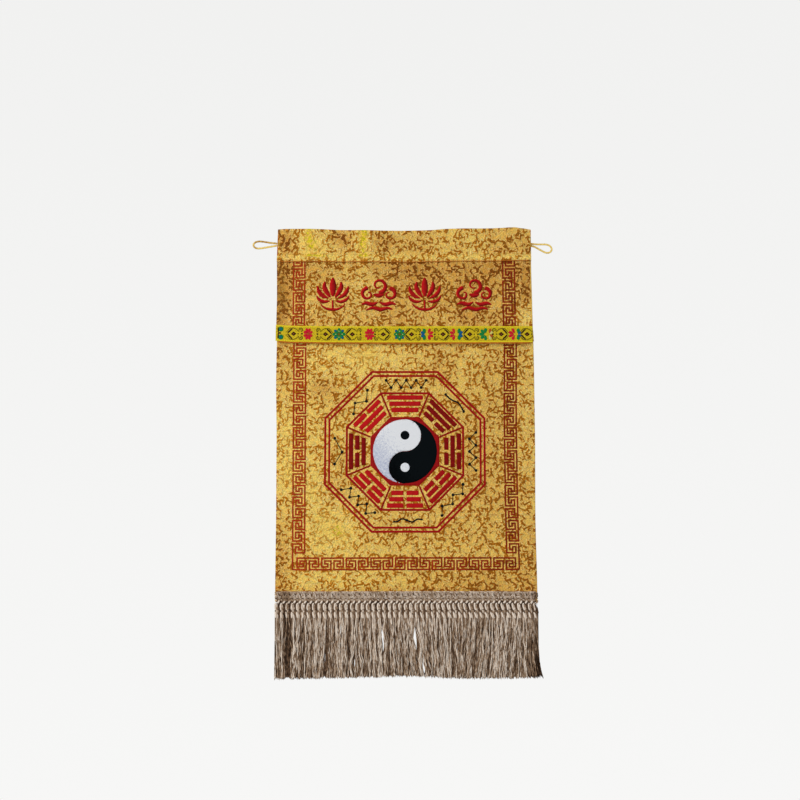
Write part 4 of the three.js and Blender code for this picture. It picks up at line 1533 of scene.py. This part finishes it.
def shadowed(tone, x, wave=(0, 0, 0)):
    """A thread's shade along its length. It is bright where its wave leans to the light, and it is dark
    in the shadow at the fringe's left end, which fades downwards, and at its right end, which deepens. Its
    tip is a little darker than its top."""
    shadow = read(SHADES, x)
    _, phase, turns = wave
    return lambda f: min(max(tone - 0.1 * f + 0.2 * math.cos(phase + turns * f)
                             + shadow * (1 - 0.75 * f if x < 0 else 0.2 + 1.2 * f), 0.06), 1.1)


def bunches(first, last, name):
    """The threads of some of the bunches, as one piece."""
    bm = bmesh.new()
    for n in range(first, last):
        x = FRINGE_LEFT + (n + 0.5) * PITCH
        # Six threads behind each bunch, painted dark as the shade in the fringe's depth.
        for behind in range(6):
            spread = (behind - 2.5) * PITCH / 6
            tip = read(SWING, x, 1) + dice.gauss(0.7, 0.4)
            tone = 0.14 + dice.uniform(-0.12, 0.2)
            line = thread_line(x, spread, 1, -1.6, tip, 0, [ripple(0.3, 8, 16)])
            tube(bm, [fringe_at(x + spread, KNOT + 5, 0.6)] + line, 0.85 * MM, 4,
                 shadowed(max(tone, 0.12), x + spread))
        for lock in range(4):
            middle_of_lock = ((lock - 1.5) * 0.26 + dice.uniform(-0.12, 0.12)) * PITCH
            lean, level = dice.gauss(0, 3.0), dice.uniform(-0.7, 0.7)
            shared = ripple(0.7, 7, 16)
            for _ in range(THREADS // 4):
                spread = middle_of_lock + dice.uniform(-0.24, 0.24) * PITCH
                depth = level + dice.uniform(-0.9, 0.9)
                # Threads further back are painted darker, as shade; the rest of their tone varies at random.
                tone = 0.46 + 0.24 * depth + dice.uniform(-0.3, 0.4)
                own = ripple(0.55, 9, 26)
                line = thread_line(x, spread, 0.35, depth, read(SWING, x, 1) + dice.gauss(0, 0.6),
                                   lean + dice.gauss(0, 1.0), [shared, own, ripple(0.16, 30, 50)])
                tube(bm, line, dice.uniform(0.34, 0.5) * MM, 5, shadowed(tone, x + spread, own))
    return piece(bm, name, "fringe", taupe)


threads = [bunches(0, 16, "fringe_threads_left"), bunches(16, 33, "fringe_threads_middle"),
           bunches(33, BUNCHES, "fringe_threads_right")]

# %% [markdown]
# ## What is cloth
#
# The panel and the valance keep the size to which each was cut, hems included.

# %% [markdown]
# ## Light and floor
#
# The room is a plain pale studio. A broad soft light stands high on the left, which brightens the left
# side of the folds, and the pale surroundings fill the shadows. The floor is far below the hanging, and
# fades out at its rim.

# %% Studio
world = bpy.data.worlds.new("studio")
scene.world = world
world.use_nodes = True
tree = world.node_tree
tree.nodes.clear()
direction = add(tree, "TexCoord")
height = add(tree, "SeparateXYZ", {0: direction.outputs["Generated"]})
fade = add(tree, "MapRange", {"Value": height.outputs["Z"], "From Min": -0.33, "From Max": 0.48})
backdrop = add(tree, "Mix", {"Factor": fade, "A": linear("#F7F7F6"), "B": linear("#F1F1F0")},
               data_type="RGBA")
seen = add(tree, "Background", {"Color": backdrop.outputs["Result"], "Strength": 1.0})
fill = add(tree, "Background", {"Color": linear("#F6F3EE"), "Strength": 0.5})
is_seen = add(tree, "LightPath")
both = add(tree, "MixShader", {0: is_seen.outputs["Is Camera Ray"], 1: fill, 2: seen})
add(tree, "OutputWorld", {"Surface": both})


def softbox(name, place, aim, size, power, colour):
    """A square soft light."""
    light = bpy.data.lights.new(name, "AREA")
    light.size = size
    light.energy = power
    light.color = linear(colour)[:3]
    obj = bpy.data.objects.new(name, light)
    obj.location = place
    obj.rotation_euler = (Vector(aim) - Vector(place)).to_track_quat("-Z", "Y").to_euler()
    scene.collection.objects.link(obj)


softbox("key", (-1.2, -1.4, 0.1), (0, 0, -0.26), 1.3, 18, "#FFF4E4")
softbox("rim", (1.3, -0.9, 0.2), (0, 0, -0.26), 0.8, 3, "#F2F5FF")

bm = bmesh.new()
bmesh.ops.create_circle(bm, cap_ends=True, segments=64, radius=0.68)
for vert in bm.verts:
    vert.co.z = -0.9
mesh = bpy.data.meshes.new("floor")
bm.to_mesh(mesh)
bm.free()
floor = bpy.data.objects.new("floor", mesh)
scene.collection.objects.link(floor)
material, tree, shader = new_material("pale painted floor", roughness=0.7)
shader.inputs["Base Color"].default_value = linear("#F2F2F0")
place = add(tree, "TexCoord")
flat = add(tree, "VectorMath", {0: place.outputs["Object"], 1: (1, 1, 0)}, operation="MULTIPLY")
away = add(tree, "VectorMath", {0: flat}, operation="LENGTH")
rim = add(tree, "MapRange", {"Value": away.outputs["Value"], "From Min": 0.4, "From Max": 0.67,
                             "To Min": 1.0, "To Max": 0.0})
tree.links.new(rim.outputs["Result"], shader.inputs["Alpha"])
mesh.materials.append(material)
